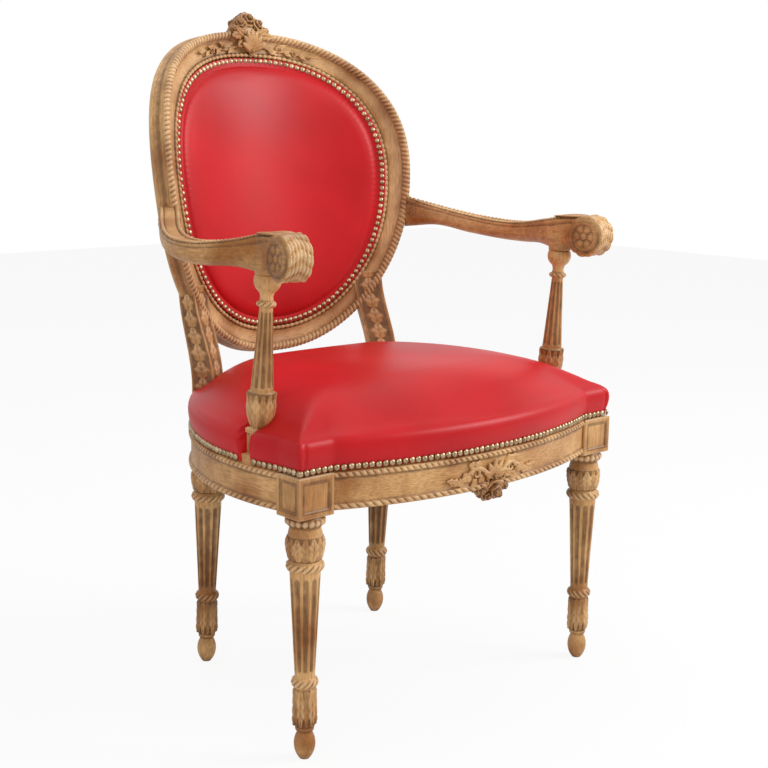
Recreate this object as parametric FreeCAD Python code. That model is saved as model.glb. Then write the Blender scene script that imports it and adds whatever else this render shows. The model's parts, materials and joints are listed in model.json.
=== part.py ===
import FreeCAD, Part
import math
import os
from FreeCAD import Vector

# An open armchair with an oval back, in millimetres.
# It faces -Y, +X is to the right of someone who looks at its front, and the feet stand on Z = 0.
# While it is built, Y = 0 is the line through the axes of the two front legs.

# Seat frame
front_leg_spread = 550.0
rear_leg_spread = 349.0
seat_depth = 351.0
leg_height = 331.0
rail_face_height = 54.0
rail_thickness = 36.0
front_bow = 49.0
side_bow = 41.0
block_width = 58.0
block_depth = 47.0
rail_lift = 4.0
rail_reveal = 2.0
panel_margin = 8.0
panel_sink = 1.5
land_height = 12.0
land_setback = 5.0
rope_width = 8.0
rope_relief = 2.2
rear_rail_thickness = 24.0

# Legs, as heights above the floor, drops below the seat rail, and diameters
foot_diameter = 13.0
foot_bulb_diameter = 28.5
foot_bulb_height = 22.0
ankle_height = 37.0
ankle_diameter = 20.0
lower_drum_diameter = 30.0
lower_ring_height = 106.0
lower_ring_diameter = 36.0
shaft_bottom_diameter = 26.5
shaft_top_diameter = 40.0
upper_ring_drop = 67.0
upper_ring_diameter = 50.0
leaf_bulb_drop = 39.0
leaf_bulb_diameter = 47.0
collar_height = 15.0
collar_diameter = 53.0
ring_thickness = 14.0
ring_step = 4.0
leg_flutes = 10
flute_depth = 2.6
rear_leg_splay = 10.5

# Rear stiles
stile_width = 47.0
stile_depth = 34.0
stile_turn = 37.0
rear_block_inset = 27.0
console_rise = 38.0

# Oval back
oval_rise = 323.0
back_setback = 89.6
back_lean = 8.6
back_radius = 341.0
oval_exponent = 2.29
oval_egg = 0.099
nail_half_width = 195.3
nail_half_height = 204.3
ring_inner_margin = 9.0
ring_depth = 28.0
rope_half_width = 226.0
rope_half_height = 243.5
ring_outer_margin = 5.5
stile_top_angle = 45.0
stile_foot_angle = -60.0
console_top_angle = -35.0
rebate_width = 15.0
rebate_depth = 6.0
rear_rebate_depth = 4.0
bead_radius = 3.0
channel_depth = 2.5
rear_bevel = 2.0

# Arms and posts
arm_angle = -8.0
arm_bow = 50.0
arm_width = 30.0
arm_root_height = 50.0
arm_waist_height = 30.0
arm_dip = 12.0
post_setback = 69.0
post_lean = 17.0
post_height = 246.0
post_inset = 6.0
plinth_setback = 24.0
hand_reach = 56.0
hand_turn = 8.0
hand_diameter = 57.0
hand_width = 38.0
hand_rise = 25.0
plinth_width = 22.0
plinth_height = 46.0
cup_height = 48.0
cup_sink = 8.0
cup_diameter = 37.0
post_shaft_bottom_diameter = 30.0
post_shaft_top_diameter = 17.0
post_ring_diameter = 26.0
post_neck_diameter = 19.0
post_bulb_diameter = 35.0
post_bulb_height = 22.0
post_neck_height = 12.0
post_ring_height = 7.0
post_flutes = 10
post_flute_depth = 1.5

# Upholstery
leather = 2.0
boxing_height = 46.0
seat_crown = 46.0
seat_roll = 13.0
seat_slope = 130.0
seat_rear_share = 0.5
back_crown = 17.0
back_roll = 22.0
webbing_width = 50.0
webbing_thickness = 1.2
hessian_thickness = 0.6
nail_diameter = 9.0
nail_dome = 3.6
nail_pitch = 9.6
nail_row_rise = 6.0

# Joints
tenon_thickness = 10.0
tenon_length = 21.0
tenon_shoulder = 9.0
joint_clearance = 0.2
peg_diameter = 6.0
peg_end = 3.0
peg_stagger = 8.0
peg_run = 60.0
dowel_diameter = 12.0
dowel_length = 18.0
soft_clearance = 0.3
layer_gap = 0.1
layer_inset = 3.0

# Carvings
crest_width = 74.0
crest_rise = 33.0
crest_depth = 24.0
boss_width = 54.0
boss_drop = 16.0
boss_depth = 30.0
boss_relief = 6.0
brace_width = 30.0
brace_length = 150.0
brace_drop = 6.0

# Sizes that follow from the driving ones
half_block_width = block_width / 2
half_block_depth = block_depth / 2
rail_top = leg_height + rail_face_height
rail_bottom = leg_height + rail_lift
land_top = rail_top + land_height
seat_edge_height = rail_top + boxing_height
back_height = rail_top + oval_rise
post_top_height = rail_top + post_height
hand_height = post_top_height + hand_rise
upper_ring_height = leg_height - upper_ring_drop
leaf_bulb_height = leg_height - leaf_bulb_drop
half_ring = ring_thickness / 2
shaft_top_height = upper_ring_height - half_ring - ring_step
shaft_bottom_height = lower_ring_height + half_ring + ring_step / 2
lower_drum_height = lower_ring_height - half_ring - ring_step
front_leg_x = front_leg_spread / 2
rear_leg_x = rear_leg_spread / 2
back_y = seat_depth + back_setback
inner_half_width = nail_half_width - ring_inner_margin
inner_half_height = nail_half_height - ring_inner_margin
outer_half_width = rope_half_width + ring_outer_margin
outer_half_height = rope_half_height + ring_outer_margin
ring_bead = 2 * ring_outer_margin
webbing_level = land_top + joint_clearance
hessian_level = webbing_level + 2 * webbing_thickness + 2 * joint_clearance
stuffing_level = hessian_level + hessian_thickness + joint_clearance

X = Vector(1, 0, 0)
Y = Vector(0, 1, 0)
Z = Vector(0, 0, 1)
ORIGIN = Vector(0, 0, 0)


def radians(angle):
    return math.radians(angle)


# Lines and arcs

def outline(points):
    """A closed wire: a point of three numbers is a corner, and a pair (middle, end) is an arc to end."""
    edges = []
    here = points[0]
    for step in points[1:] + [points[0]]:
        if isinstance(step, tuple):
            middle, end = step
            edges.append(Part.Arc(here, middle, end).toShape())
            here = end
        elif (step - here).Length > 0.001:
            edges.append(Part.LineSegment(here, step).toShape())
            here = step
    return Part.Wire(edges)


def in_plane(points, place):
    """Carries flat pairs, some of them arcs, into space with the function place(a, b)."""
    placed = []
    for step in points:
        if isinstance(step[0], tuple):
            middle, end = step
            placed.append((place(*middle), place(*end)))
        else:
            placed.append(place(*step))
    return placed


def turned(profile):
    """A solid of revolution about Z from flat pairs (radius, height), some of them arcs."""
    wire = outline(in_plane(profile, lambda radius, height: Vector(radius, 0, height)))
    return Part.Face(wire).revolve(ORIGIN, Z, 360)


def box(low_x, high_x, low_y, high_y, low_z, high_z):
    corner = Vector(low_x, low_y, low_z)
    return Part.makeBox(high_x - low_x, high_y - low_y, high_z - low_z, corner)


def placed(shape, x, y, z=0.0, turn=0.0):
    """A copy turned about Z, then moved."""
    copy = shape.copy()
    copy.rotate(ORIGIN, Z, turn)
    copy.translate(Vector(x, y, z))
    return copy


def mirrored(shape):
    return shape.mirror(ORIGIN, X)


def fused(shapes):
    return shapes[0].fuse(shapes[1:]).removeSplitter()


def both_sides(shapes):
    return shapes + [mirrored(shape) for shape in shapes]


# Plan of the seat

def bow(start, end, rise):
    """Centre and radius of the arc from start to end that stands out by rise, to the right of its way."""
    chord = end - start
    half = chord.Length / 2
    radius = (half * half + rise * rise) / (2 * rise)
    side = Vector(chord.y, -chord.x, 0).normalize()
    centre = (start + end) * 0.5 - side * (radius - rise)
    return centre, radius


stile_out = Vector(math.sin(radians(stile_turn)), math.cos(radians(stile_turn)), 0)
stile_side = Vector(math.cos(radians(stile_turn)), -math.sin(radians(stile_turn)), 0)
rear_axis = Vector(rear_leg_x, seat_depth, 0)

front_start = Vector(front_leg_x - half_block_width, rail_reveal - half_block_depth, 0)
front_centre, front_radius = bow(mirrored(Part.Vertex(front_start)).Point, front_start, front_bow)
side_start = Vector(front_leg_x + half_block_width - rail_reveal, half_block_depth, 0)
side_end = rear_axis + stile_out * (stile_depth / 2) + stile_side * (stile_width / 2)
side_centre, side_radius = bow(side_start, side_end, side_bow)


def front_line(x, inset):
    """Y of the front rail's outer line, set back by inset."""
    radius = front_radius - inset
    return front_centre.y - math.sqrt(radius * radius - x * x)


def side_line(x, inset):
    """Y of the side rail's outer line towards the rear, at a given x."""
    radius = side_radius - inset
    reach = min(abs(x) - side_centre.x, radius)
    return side_centre.y + math.sqrt(radius * radius - reach * reach)


def side_x(y, inset):
    radius = side_radius - inset
    return side_centre.x + math.sqrt(radius * radius - (y - side_centre.y) ** 2)


# Legs

def flutes(count, low, high, low_radius, high_radius, depth):
    """Round-ended grooves that follow a tapered shaft."""
    low_groove = math.pi * low_radius / count * 0.62
    high_groove = math.pi * high_radius / count * 0.62
    slope = math.degrees(math.atan2(high_radius - low_radius, high - low))
    length = math.hypot(high - low, high_radius - low_radius)
    groove = Part.makeCone(low_groove, high_groove, length)
    groove = groove.fuse(Part.makeSphere(low_groove))
    groove = groove.fuse(Part.makeSphere(high_groove, Vector(0, 0, length)))
    groove.rotate(ORIGIN, Y, slope)
    shallow = min(depth / low_groove, 1.0)
    groove.translate(Vector(low_radius + low_groove * (1 - shallow), 0, low))
    grooves = []
    for index in range(count):
        copy = groove.copy()
        copy.rotate(ORIGIN, Z, (index + 0.5) * 360 / count)
        grooves.append(copy)
    return Part.makeCompound(grooves)


def bead(radius, height, thickness, neck):
    """A turned ring: from the neck radius out to its radius and back."""
    half = thickness / 2
    return [(neck, height - half), ((radius, height), (neck, height + half))]


def leg_profile():
    foot = foot_diameter / 2
    bulb = foot_bulb_diameter / 2
    ankle = ankle_diameter / 2
    drum = lower_drum_diameter / 2
    shaft_low = shaft_bottom_diameter / 2
    shaft_high = shaft_top_diameter / 2
    leaf = leaf_bulb_diameter / 2
    collar = collar_diameter / 2
    drum_low = (ankle + drum) / 2
    collar_low = leg_height - collar_height
    profile = [(0, 0), (foot, 0)]
    profile += [((bulb, foot_bulb_height), (ankle, ankle_height))]
    profile += [(drum_low, ankle_height + ring_step), (drum, lower_drum_height)]
    profile += bead(lower_ring_diameter / 2, lower_ring_height, ring_thickness, shaft_low)
    profile += [(shaft_low, shaft_bottom_height), (shaft_high, shaft_top_height)]
    profile += bead(upper_ring_diameter / 2, upper_ring_height, ring_thickness, shaft_high)
    profile += [((leaf, leaf_bulb_height), (shaft_high, collar_low))]
    profile += [((collar, leg_height - collar_height / 2), (shaft_high + 2, leg_height))]
    profile += [(0, leg_height)]
    return profile


def leg():
    body = turned(leg_profile())
    margin = 12.0
    low = shaft_bottom_height + margin
    high = shaft_top_height - margin
    run = shaft_top_height - shaft_bottom_height
    rate = (shaft_top_diameter - shaft_bottom_diameter) / 2 / run
    low_radius = shaft_bottom_diameter / 2 + rate * margin
    high_radius = shaft_top_diameter / 2 - rate * margin
    return body.cut(flutes(leg_flutes, low, high, low_radius, high_radius, flute_depth))


# Tenons, as (start, direction, width across, height) with the start on the shoulder

def tenon(start, direction, low, high, grow=0.0, thickness=tenon_thickness, length=tenon_length):
    """A flat upright tongue that runs back into its rail and forward into the block."""
    root = 6.0
    half = thickness / 2 + grow
    tongue = box(-root, length + grow * 3, -half, half, low - grow, high + grow)
    angle = math.degrees(math.atan2(direction.y, direction.x))
    return placed(tongue, start.x, start.y, 0, angle)


tenon_low = rail_bottom + tenon_shoulder
tenon_high = rail_top - tenon_shoulder
front_tenon_reach = half_block_depth - rail_reveal - rail_thickness / 2
side_tenon_reach = half_block_width - rail_reveal - rail_thickness / 2
front_tenon_start = Vector(front_leg_x - half_block_width, -front_tenon_reach, 0)
side_tenon_start = Vector(front_leg_x + side_tenon_reach, half_block_depth, 0)
rear_tenon_start = rear_axis + stile_side * (stile_width / 2)
cross_tenon_y = seat_depth + 3.0
cross_tenon_start = Vector(rear_leg_x - stile_width / 2 + 2, cross_tenon_y, 0)
tenon_middle = (tenon_low + tenon_high) / 2


def seat_tenons(grow=0.0):
    """The four tongues on the right-hand side, by the piece that carries them."""
    return {
        "front": tenon(front_tenon_start, X, tenon_low, tenon_high, grow),
        "side_front": tenon(side_tenon_start, Y * -1, tenon_low, tenon_high, grow),
        "side_rear": tenon(rear_tenon_start, stile_side * -1, tenon_low, tenon_high, grow),
        "rear": tenon(cross_tenon_start, X, tenon_low, tenon_high, grow),
    }


def seat_pegs(radius):
    """A pin across each seat tenon on the right-hand side, driven in from inside the frame."""
    half = tenon_length / 2
    pins = [
        (front_tenon_start + X * half, Y * -1, 1),
        (side_tenon_start - Y * half, X, -1),
        (rear_tenon_start - stile_side * half, stile_out, -1),
        (cross_tenon_start + X * half * 0.8, Y, 1),
    ]
    return [pin(point + Z * (tenon_middle + way * peg_stagger), out, radius) for point, out, way in pins]


def pin(point, out, radius):
    """A round rod that starts just beyond a tenon and runs inward across it."""
    start = point + out * (tenon_thickness / 2 + peg_end)
    return Part.makeCylinder(radius, peg_run, start, out * -1)


def block_prism(low, high, grow=0.0):
    """The front block between two heights."""
    wide = half_block_width + grow
    deep = half_block_depth + grow
    return box(front_leg_x - wide, front_leg_x + wide, -deep, deep, low, high)


def stile_prism(low, high, grow=0.0, inward=rear_block_inset, outward=stile_depth / 2):
    side = stile_width / 2 + grow
    prism = box(-side, side, -inward - grow, outward + grow, low, high)
    return placed(prism, rear_axis.x, rear_axis.y, 0, -stile_turn)


turned_leg = leg()
hole_radius = peg_diameter / 2 + joint_clearance / 2


def panel(turn, reach, half_face):
    """What a sunk panel takes out of a face of the front block."""
    half = half_face - panel_margin
    slab = box(reach - panel_sink, reach + 1, -half, half, leg_height + panel_margin, rail_top - panel_margin)
    return placed(slab, front_leg_x, 0, 0, turn)


def front_leg():
    """The right front leg with its block, the land above it and the two mortises."""
    block = block_prism(leg_height, rail_top)
    land = block_prism(rail_top, land_top).common(seat_sheet(land_setback, rail_top, land_top))
    panels = [panel(-90, half_block_depth, half_block_width), panel(0, half_block_width, half_block_depth)]
    body = fused([placed(turned_leg, front_leg_x, 0), block, land])
    mortises = seat_tenons(joint_clearance)
    holes = seat_pegs(hole_radius)[:2]
    return body.cut(panels + [mortises["front"], mortises["side_front"]] + holes)


# Rails

def rail_profile(radius, thickness):
    """Section of a rail as (distance from the bow's centre, height)."""
    edge = radius - rope_relief
    inner = radius - thickness
    land = radius - land_setback
    low_rope = rail_bottom + rope_width
    high_rope = rail_top - rope_width
    return [
        (inner, rail_bottom), (edge, rail_bottom),
        ((radius, rail_bottom + rope_width / 2), (edge, low_rope)),
        (edge, high_rope), ((radius, rail_top - rope_width / 2), (edge, rail_top)),
        (land, rail_top), (land, land_top), (inner, land_top),
    ]


def bowed_rail(centre, radius, start, end):
    """A length of the rail's section turned about the bow's centre from one point to another."""
    wire = outline(in_plane(rail_profile(radius, rail_thickness), lambda out, up: Vector(out, 0, up)))
    first = math.degrees(math.atan2(start.y - centre.y, start.x - centre.x))
    last = math.degrees(math.atan2(end.y - centre.y, end.x - centre.x))
    span = (last - first) % 360
    rail = Part.Face(wire).revolve(ORIGIN, Z, span)
    return placed(rail, centre.x, centre.y, 0, first)


def front_rail():
    end = Vector(front_leg_x, -half_block_depth, 0)
    start = Vector(-end.x, end.y, 0)
    body = bowed_rail(front_centre, front_radius, start, end)
    body = body.cut(both_sides([block_prism(leg_height - 1, land_top + 1)]))
    body = fused([body] + both_sides([seat_tenons()["front"]]))
    return body.cut(both_sides(seat_pegs(hole_radius)[:1]))


def side_rail():
    start = Vector(front_leg_x + half_block_width, 0, 0)
    end = rear_axis + stile_out * (stile_depth / 2)
    body = bowed_rail(side_centre, side_radius, start, end)
    front_end = block_prism(leg_height - 1, land_top + 1)
    rear_end = stile_prism(leg_height - 1, land_top + 1, outward=2 * stile_depth)
    body = body.cut([front_end, rear_end])
    tongues = seat_tenons()
    body = fused([body, tongues["side_front"], tongues["side_rear"]])
    seat = plinth_solid(joint_clearance, land_top + 1)
    socket = post_dowel(post_foot, -1, joint_clearance)
    return body.cut([seat, socket] + seat_pegs(hole_radius)[1:3])


def rear_rail():
    reach = rear_leg_x
    low_y = cross_tenon_y - rear_rail_thickness / 2
    high_y = cross_tenon_y + rear_rail_thickness / 2
    body = box(-reach, reach, low_y, high_y, rail_bottom, land_top)
    body = body.cut(both_sides([stile_prism(leg_height - 1, land_top + 1)]))
    body = fused([body] + both_sides([seat_tenons()["rear"]]))
    return body.cut(both_sides(seat_pegs(hole_radius)[3:]))


# Oval back, drawn upright with its middle at the origin and then leaned

def leaned(shape):
    copy = shape.copy()
    copy.rotate(ORIGIN, X, -back_lean)
    copy.translate(Vector(0, back_y, back_height))
    return copy


def leaned_point(point):
    lean = radians(back_lean)
    y = point.y * math.cos(lean) + point.z * math.sin(lean)
    z = point.z * math.cos(lean) - point.y * math.sin(lean)
    return Vector(point.x, y + back_y, z + back_height)


def bent(u, v, depth=0.0):
    """A point of the curved back: u across, v up, and depth behind its front surface."""
    turn = math.asin(u / back_radius)
    radius = back_radius + depth
    return Vector(radius * math.sin(turn), radius * math.cos(turn) - back_radius, v)


def oval(angle, half_width, half_height):
    power = 2 / oval_exponent
    across = math.cos(radians(angle))
    up = math.sin(radians(angle))
    u = half_width * math.copysign(abs(across) ** power, across)
    v = half_height * math.copysign(abs(up) ** power, up)
    return u * (1 + oval_egg * v / half_height), v


def ring_frame(angle):
    """Inner point, outward direction, forward direction and width of the oval frame."""
    inner = bent(*oval(angle, inner_half_width, inner_half_height))
    outer = bent(*oval(angle, outer_half_width, outer_half_height))
    across = outer - inner
    width = across.Length
    across.normalize()
    turn = math.asin((inner.x + outer.x) / 2 / back_radius)
    forward = Vector(-math.sin(turn), -math.cos(turn), 0)
    forward = (forward - across * forward.dot(across)).normalize()
    return inner, across, forward, width


def ring_profile(width):
    """Section of the oval frame as (distance from its inner edge, distance in front)."""
    rope_start = width - ring_bead
    face_low = rebate_width + 2 * bead_radius
    side_low = 6.0 - ring_depth
    return [
        (0, -rebate_depth), (rebate_width, -rebate_depth), (rebate_width, -bead_radius),
        ((rebate_width + bead_radius, 0), (face_low, -bead_radius)),
        (((face_low + rope_start) / 2, -bead_radius - 1), (rope_start, -bead_radius)),
        ((width - ring_outer_margin, rope_relief), (width, -bead_radius)),
        (width, -6.0), ((width - channel_depth, -ring_depth / 2), (width, side_low)),
        (width, rear_bevel - ring_depth), (width - rear_bevel, -ring_depth),
        (rebate_width, -ring_depth), (rebate_width, rear_rebate_depth - ring_depth),
        (0, rear_rebate_depth - ring_depth),
    ]


def ring_section(angle):
    inner, across, forward, width = ring_frame(angle)
    return outline(in_plane(ring_profile(width), lambda a, b: inner + across * a + forward * b))


def ring_part(first, last, steps):
    angles = [first + (last - first) * index / steps for index in range(steps + 1)]
    return Part.makeLoft([ring_section(angle) for angle in angles], True, False)


def ring_centre(angle):
    inner, across, forward, width = ring_frame(angle)
    return inner + across * (width / 2) - forward * (ring_depth / 2)


def ring_tenon(angle, way, grow=0.0):
    """A flat tongue along the oval frame, across the joint at an angle."""
    inner, across, forward, width = ring_frame(angle)
    along = across.cross(forward) * way
    half_width = (width - 2 * tenon_shoulder) / 2 + grow
    half_thickness = tenon_thickness / 2 + grow
    root = 8.0
    tongue = box(-half_width, half_width, -half_thickness, half_thickness, -root, tenon_length + grow * 3)
    side = along.cross(across)
    matrix = FreeCAD.Matrix(
        across.x, side.x, along.x, 0,
        across.y, side.y, along.y, 0,
        across.z, side.z, along.z, 0)
    tongue.Placement = FreeCAD.Placement(matrix)
    tongue.translate(ring_centre(angle))
    return tongue


def ring_peg(angle, way, radius, length=peg_run):
    inner, across, forward, width = ring_frame(angle)
    along = across.cross(forward) * way
    start = ring_centre(angle) + along * (tenon_length / 2) + forward * (tenon_thickness / 2 + peg_end)
    return Part.makeCylinder(radius, length, start, forward * -1)


def smooth(t):
    return t * t * (3 - 2 * t)


def console():
    """The carved bracket between the rear block and the side of the oval, as level sections."""
    top = leaned_point(ring_centre(console_top_angle))
    top_turn = math.degrees(math.asin(ring_centre(console_top_angle).x / back_radius))
    start = land_top + console_rise
    sections = []
    heights = [rail_top, start] + [start + (top.z - start) * step / 5 for step in range(1, 6)]
    for height in heights:
        t = smooth(max(0.0, (height - start) / (top.z - start)))
        centre = rear_axis + (Vector(top.x, top.y, 0) - rear_axis) * t
        turn = stile_turn + (top_turn - stile_turn) * t
        wide = stile_width / 2
        deep = (stile_depth + (ring_depth - stile_depth) * t) / 2 - t
        corners = [(-wide, -deep), (wide, -deep), (wide, deep), (-wide, deep)]
        cut = 1.5
        points = []
        for across, along in corners:
            step_x = math.copysign(cut, across)
            step_y = math.copysign(cut, along)
            first = (across - step_x, along)
            second = (across, along - step_y)
            points += [second, first] if across * along > 0 else [first, second]
        place = lambda a, b: spot(centre, turn, a, b, height)
        sections.append(outline(in_plane(points[::-1], place)))
    return Part.makeLoft(sections, True, False)


def spot(centre, turn, across, along, height):
    """A point in plan, from a centre, in axes turned like the stile."""
    angle = radians(turn)
    x = centre.x + across * math.cos(angle) + along * math.sin(angle)
    y = centre.y - across * math.sin(angle) + along * math.cos(angle)
    return Vector(x, y, height)


def rear_leg():
    body = turned_leg
    splay = math.degrees(math.atan2(rear_leg_splay, leg_height))
    stretch = 3.0
    stub = Part.makeCone(foot_diameter / 2 - 0.5, foot_diameter / 2, stretch, Vector(0, 0, -stretch))
    body = body.fuse(stub)
    body.rotate(Vector(0, 0, leg_height), X, splay)
    body.translate(rear_axis)
    reach = collar_diameter + rear_leg_splay
    floor = box(0, 2 * rear_leg_x, seat_depth - reach, seat_depth + reach, -reach, 0)
    return body.cut(floor)


oval_side = leaned(ring_part(stile_foot_angle, stile_top_angle, 7))
oval_top = ring_part(stile_top_angle, 180 - stile_top_angle, 6)
oval_foot = ring_part(-180 - stile_foot_angle, stile_foot_angle, 5)


def rear_stile():
    """The right rear leg, block, console and side of the oval in one piece of wood."""
    block = stile_prism(leg_height - 1, land_top)
    tongues = [leaned(ring_tenon(stile_top_angle, 1)), leaned(ring_tenon(stile_foot_angle, -1))]
    body = fused([rear_leg(), block, console(), oval_side] + tongues)
    mortises = seat_tenons(joint_clearance)
    cuts = [mortises["side_rear"], mortises["rear"], arm_tenon(joint_clearance)]
    cuts += seat_pegs(hole_radius)[2:]
    cuts += [leaned(ring_peg(stile_top_angle, 1, hole_radius))]
    cuts += [leaned(ring_peg(stile_foot_angle, -1, hole_radius))]
    return body.cut(cuts)


def ring_rail(body, way):
    """The crest or the foot of the oval, with a mortise and a peg hole at each end."""
    right = stile_top_angle if way > 0 else stile_foot_angle
    mortise = ring_tenon(right, way, joint_clearance)
    hole = ring_peg(right, way, hole_radius)
    return leaned(body.cut(both_sides([mortise, hole])))


# Arms and their posts

post_foot_x = side_x(post_setback + post_lean, 0) - plinth_setback
post_foot = Vector(post_foot_x, post_setback + post_lean, rail_top)
plinth_turn = math.degrees(math.asin((post_foot.y - side_centre.y) / side_radius))
post_top = Vector(front_leg_x + post_inset, post_setback, post_top_height)
post_axis = (post_top - post_foot).normalize()
post_length = (post_top - post_foot).Length


def along_post(shape):
    """Stands a piece drawn on Z up on the post's foot, on its leaning axis."""
    copy = shape.copy()
    copy.Placement = FreeCAD.Placement(post_foot, FreeCAD.Rotation(Z, post_axis))
    return copy


def plinth_solid(grow=0.0, top=None):
    half = plinth_width / 2 + grow
    high = rail_top + plinth_height if top is None else top
    deep = plinth_width / 2
    body = box(-deep - grow, deep + grow, -half, half, rail_top - grow, high)
    return placed(body, post_foot.x, post_foot.y, 0, plinth_turn)


def post_dowel(point, way, grow=0.0):
    """A round tongue at an end of the post; way is -1 at its foot and 1 at its top."""
    radius = dowel_diameter / 2 + grow
    return Part.makeCylinder(radius, dowel_length + grow * 3, point - post_axis * way, post_axis * way)


def post_profile():
    bulb = post_bulb_diameter / 2
    neck = post_neck_diameter / 2
    ring = post_ring_diameter / 2
    cup = cup_diameter / 2
    shaft_low = post_shaft_bottom_diameter / 2
    shaft_high = post_shaft_top_diameter / 2
    foot = plinth_width / 2
    start = plinth_height - 4
    cup_top = plinth_height + cup_height
    bulb_low = post_length - post_bulb_height
    neck_low = bulb_low - post_neck_height
    ring_low = neck_low - post_ring_height
    return [
        (0, start), (foot - 2, start), (foot, plinth_height),
        ((cup - 1, plinth_height + cup_height * 0.45), (cup - 2, plinth_height + cup_height * 0.8)),
        (cup, cup_top), (shaft_low, cup_top), (shaft_high, ring_low),
        ((ring, ring_low + post_ring_height / 2), (neck, neck_low)),
        ((neck - 1, neck_low + post_neck_height / 2), (neck + 1, bulb_low)),
        ((bulb, bulb_low + post_bulb_height / 2), (bulb - 2, post_length)), (0, post_length),
    ]


def arm_post():
    body = turned(post_profile())
    cup_top = plinth_height + cup_height
    ring_low = post_length - post_bulb_height - post_neck_height - post_ring_height
    margin = 6.0
    run = ring_low - cup_top
    rate = (post_shaft_bottom_diameter - post_shaft_top_diameter) / 2 / run
    low_radius = post_shaft_bottom_diameter / 2 - rate * margin
    high_radius = post_shaft_top_diameter / 2 + rate * margin
    grooves = flutes(post_flutes, cup_top + margin, ring_low - margin, low_radius, high_radius, post_flute_depth)
    body = along_post(body.cut(grooves))
    plinth = plinth_solid()
    return fused([body, plinth, post_dowel(post_foot, -1), post_dowel(post_top, 1)])


def arm_root():
    inner, across, forward, width = ring_frame(arm_angle)
    on_side = inner + across * (width - channel_depth) - forward * (ring_depth / 2)
    tip = inner + across * width - forward * (ring_depth / 2)
    start = leaned_point(on_side)
    way = (leaned_point(tip) - start)
    way.z = 0
    return start, way.normalize()


def arm_tenon(grow=0.0):
    start, way = arm_root()
    half = arm_root_height / 2 - tenon_shoulder
    return tenon(start, way * -1, start.z - half, start.z + half, grow)


def arm_section(centre, way, width, height):
    """An upright section square to way: flat sides, an almost flat top and a rounded underside."""
    side = Vector(-way.y, way.x, 0)
    half = width / 2
    up = height / 2
    shoulder = up - 5.0
    belly = -up * 0.25
    points = [
        (-half, belly), ((-half * 0.72, -up * 0.8), (0, -up)),
        ((half * 0.72, -up * 0.8), (half, belly)), (half, shoulder),
        ((half * 0.93, up * 0.97), (half - 3.0, up)), (3.0 - half, up),
        ((-half * 0.93, up * 0.97), (-half, shoulder)),
    ]
    return outline(in_plane(points, lambda a, b: centre + side * a + Z * b))


hand_way = Vector(math.sin(radians(hand_turn)), -math.cos(radians(hand_turn)), 0)
hand_centre = Vector(post_top.x, post_top.y, hand_height) + hand_way * hand_reach


def arm_line(t, root):
    """A point of the arm's middle line in plan, from the oval (0) to the post (1)."""
    x = root.x + (post_top.x - root.x) * t
    y = root.y + (post_top.y - root.y) * t
    out = arm_bow * math.sin(math.pi * t) ** 1.15
    return Vector(x + out, y, 0)


def arm():
    """The right arm: a bowed rail from the oval to the post, and its scrolled hand."""
    root, root_way = arm_root()
    hand_top = hand_height + hand_diameter / 2
    post_swell = hand_top - 2 - post_top_height
    stations = [0.15, 0.32, 0.50, 0.68, 0.84]
    sections = [arm_section(root, root_way, arm_width, arm_root_height)]
    for t in stations:
        ahead = arm_line(t + 0.02, root)
        here = arm_line(t, root)
        way = (ahead - here).normalize()
        top_line = root.z + arm_root_height / 2
        end_line = hand_top - 2
        top = top_line + (end_line - top_line) * t - arm_dip * 2 * math.sin(math.pi * t)
        swell = post_swell - arm_waist_height
        height = arm_waist_height + max(0.0, t - 0.6) * swell
        centre = Vector(here.x, here.y, top - height / 2)
        sections.append(arm_section(centre, way, arm_width, height))
    post_centre = Vector(post_top.x, post_top.y, hand_top - 2 - post_swell / 2)
    sections.append(arm_section(post_centre, hand_way, arm_width + 4, post_swell))
    reach = hand_reach * 0.55
    neck_height = post_swell * 0.72
    neck_centre = Vector(post_top.x, post_top.y, hand_top - neck_height / 2) + hand_way * reach
    sections.append(arm_section(neck_centre, hand_way, arm_width + 5, neck_height))
    end_height = hand_diameter * 0.5
    end_centre = hand_centre + Z * (hand_diameter / 2 - end_height / 2)
    sections.append(arm_section(end_centre, hand_way, hand_width, end_height))
    body = Part.makeLoft(sections, True, False)
    side = Vector(-hand_way.y, hand_way.x, 0)
    scroll_start = hand_centre - side * (hand_width / 2)
    scroll = Part.makeCylinder(hand_diameter / 2, hand_width, scroll_start, side)
    scroll = scroll.makeFillet(3.0, scroll.Edges[:1] + scroll.Edges[2:])
    bulb = post_bulb_diameter / 2
    swell_profile = [(0, 0), (bulb - 2, 0), (bulb + 3, post_swell * 0.45), (0, post_swell * 0.45)]
    swell = turned(swell_profile)
    swell.translate(post_top)
    body = fused([body.cut(oval_side), scroll, swell, arm_tenon()])
    return body.cut(post_dowel(post_top, 1, joint_clearance))


# Upholstery

def seat_corner(inset):
    """Where the outline leaves the front bow, its corner over the block, and where it joins the side bow."""
    x = side_start.x - inset
    y = front_start.y + inset
    front_x = math.sqrt((front_radius - inset) ** 2 - (front_centre.y - y) ** 2)
    side_y = side_centre.y - math.sqrt((side_radius - inset) ** 2 - (x - side_centre.x) ** 2)
    return Vector(front_x, y, 0), Vector(x, y, 0), Vector(x, side_y, 0)


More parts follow.
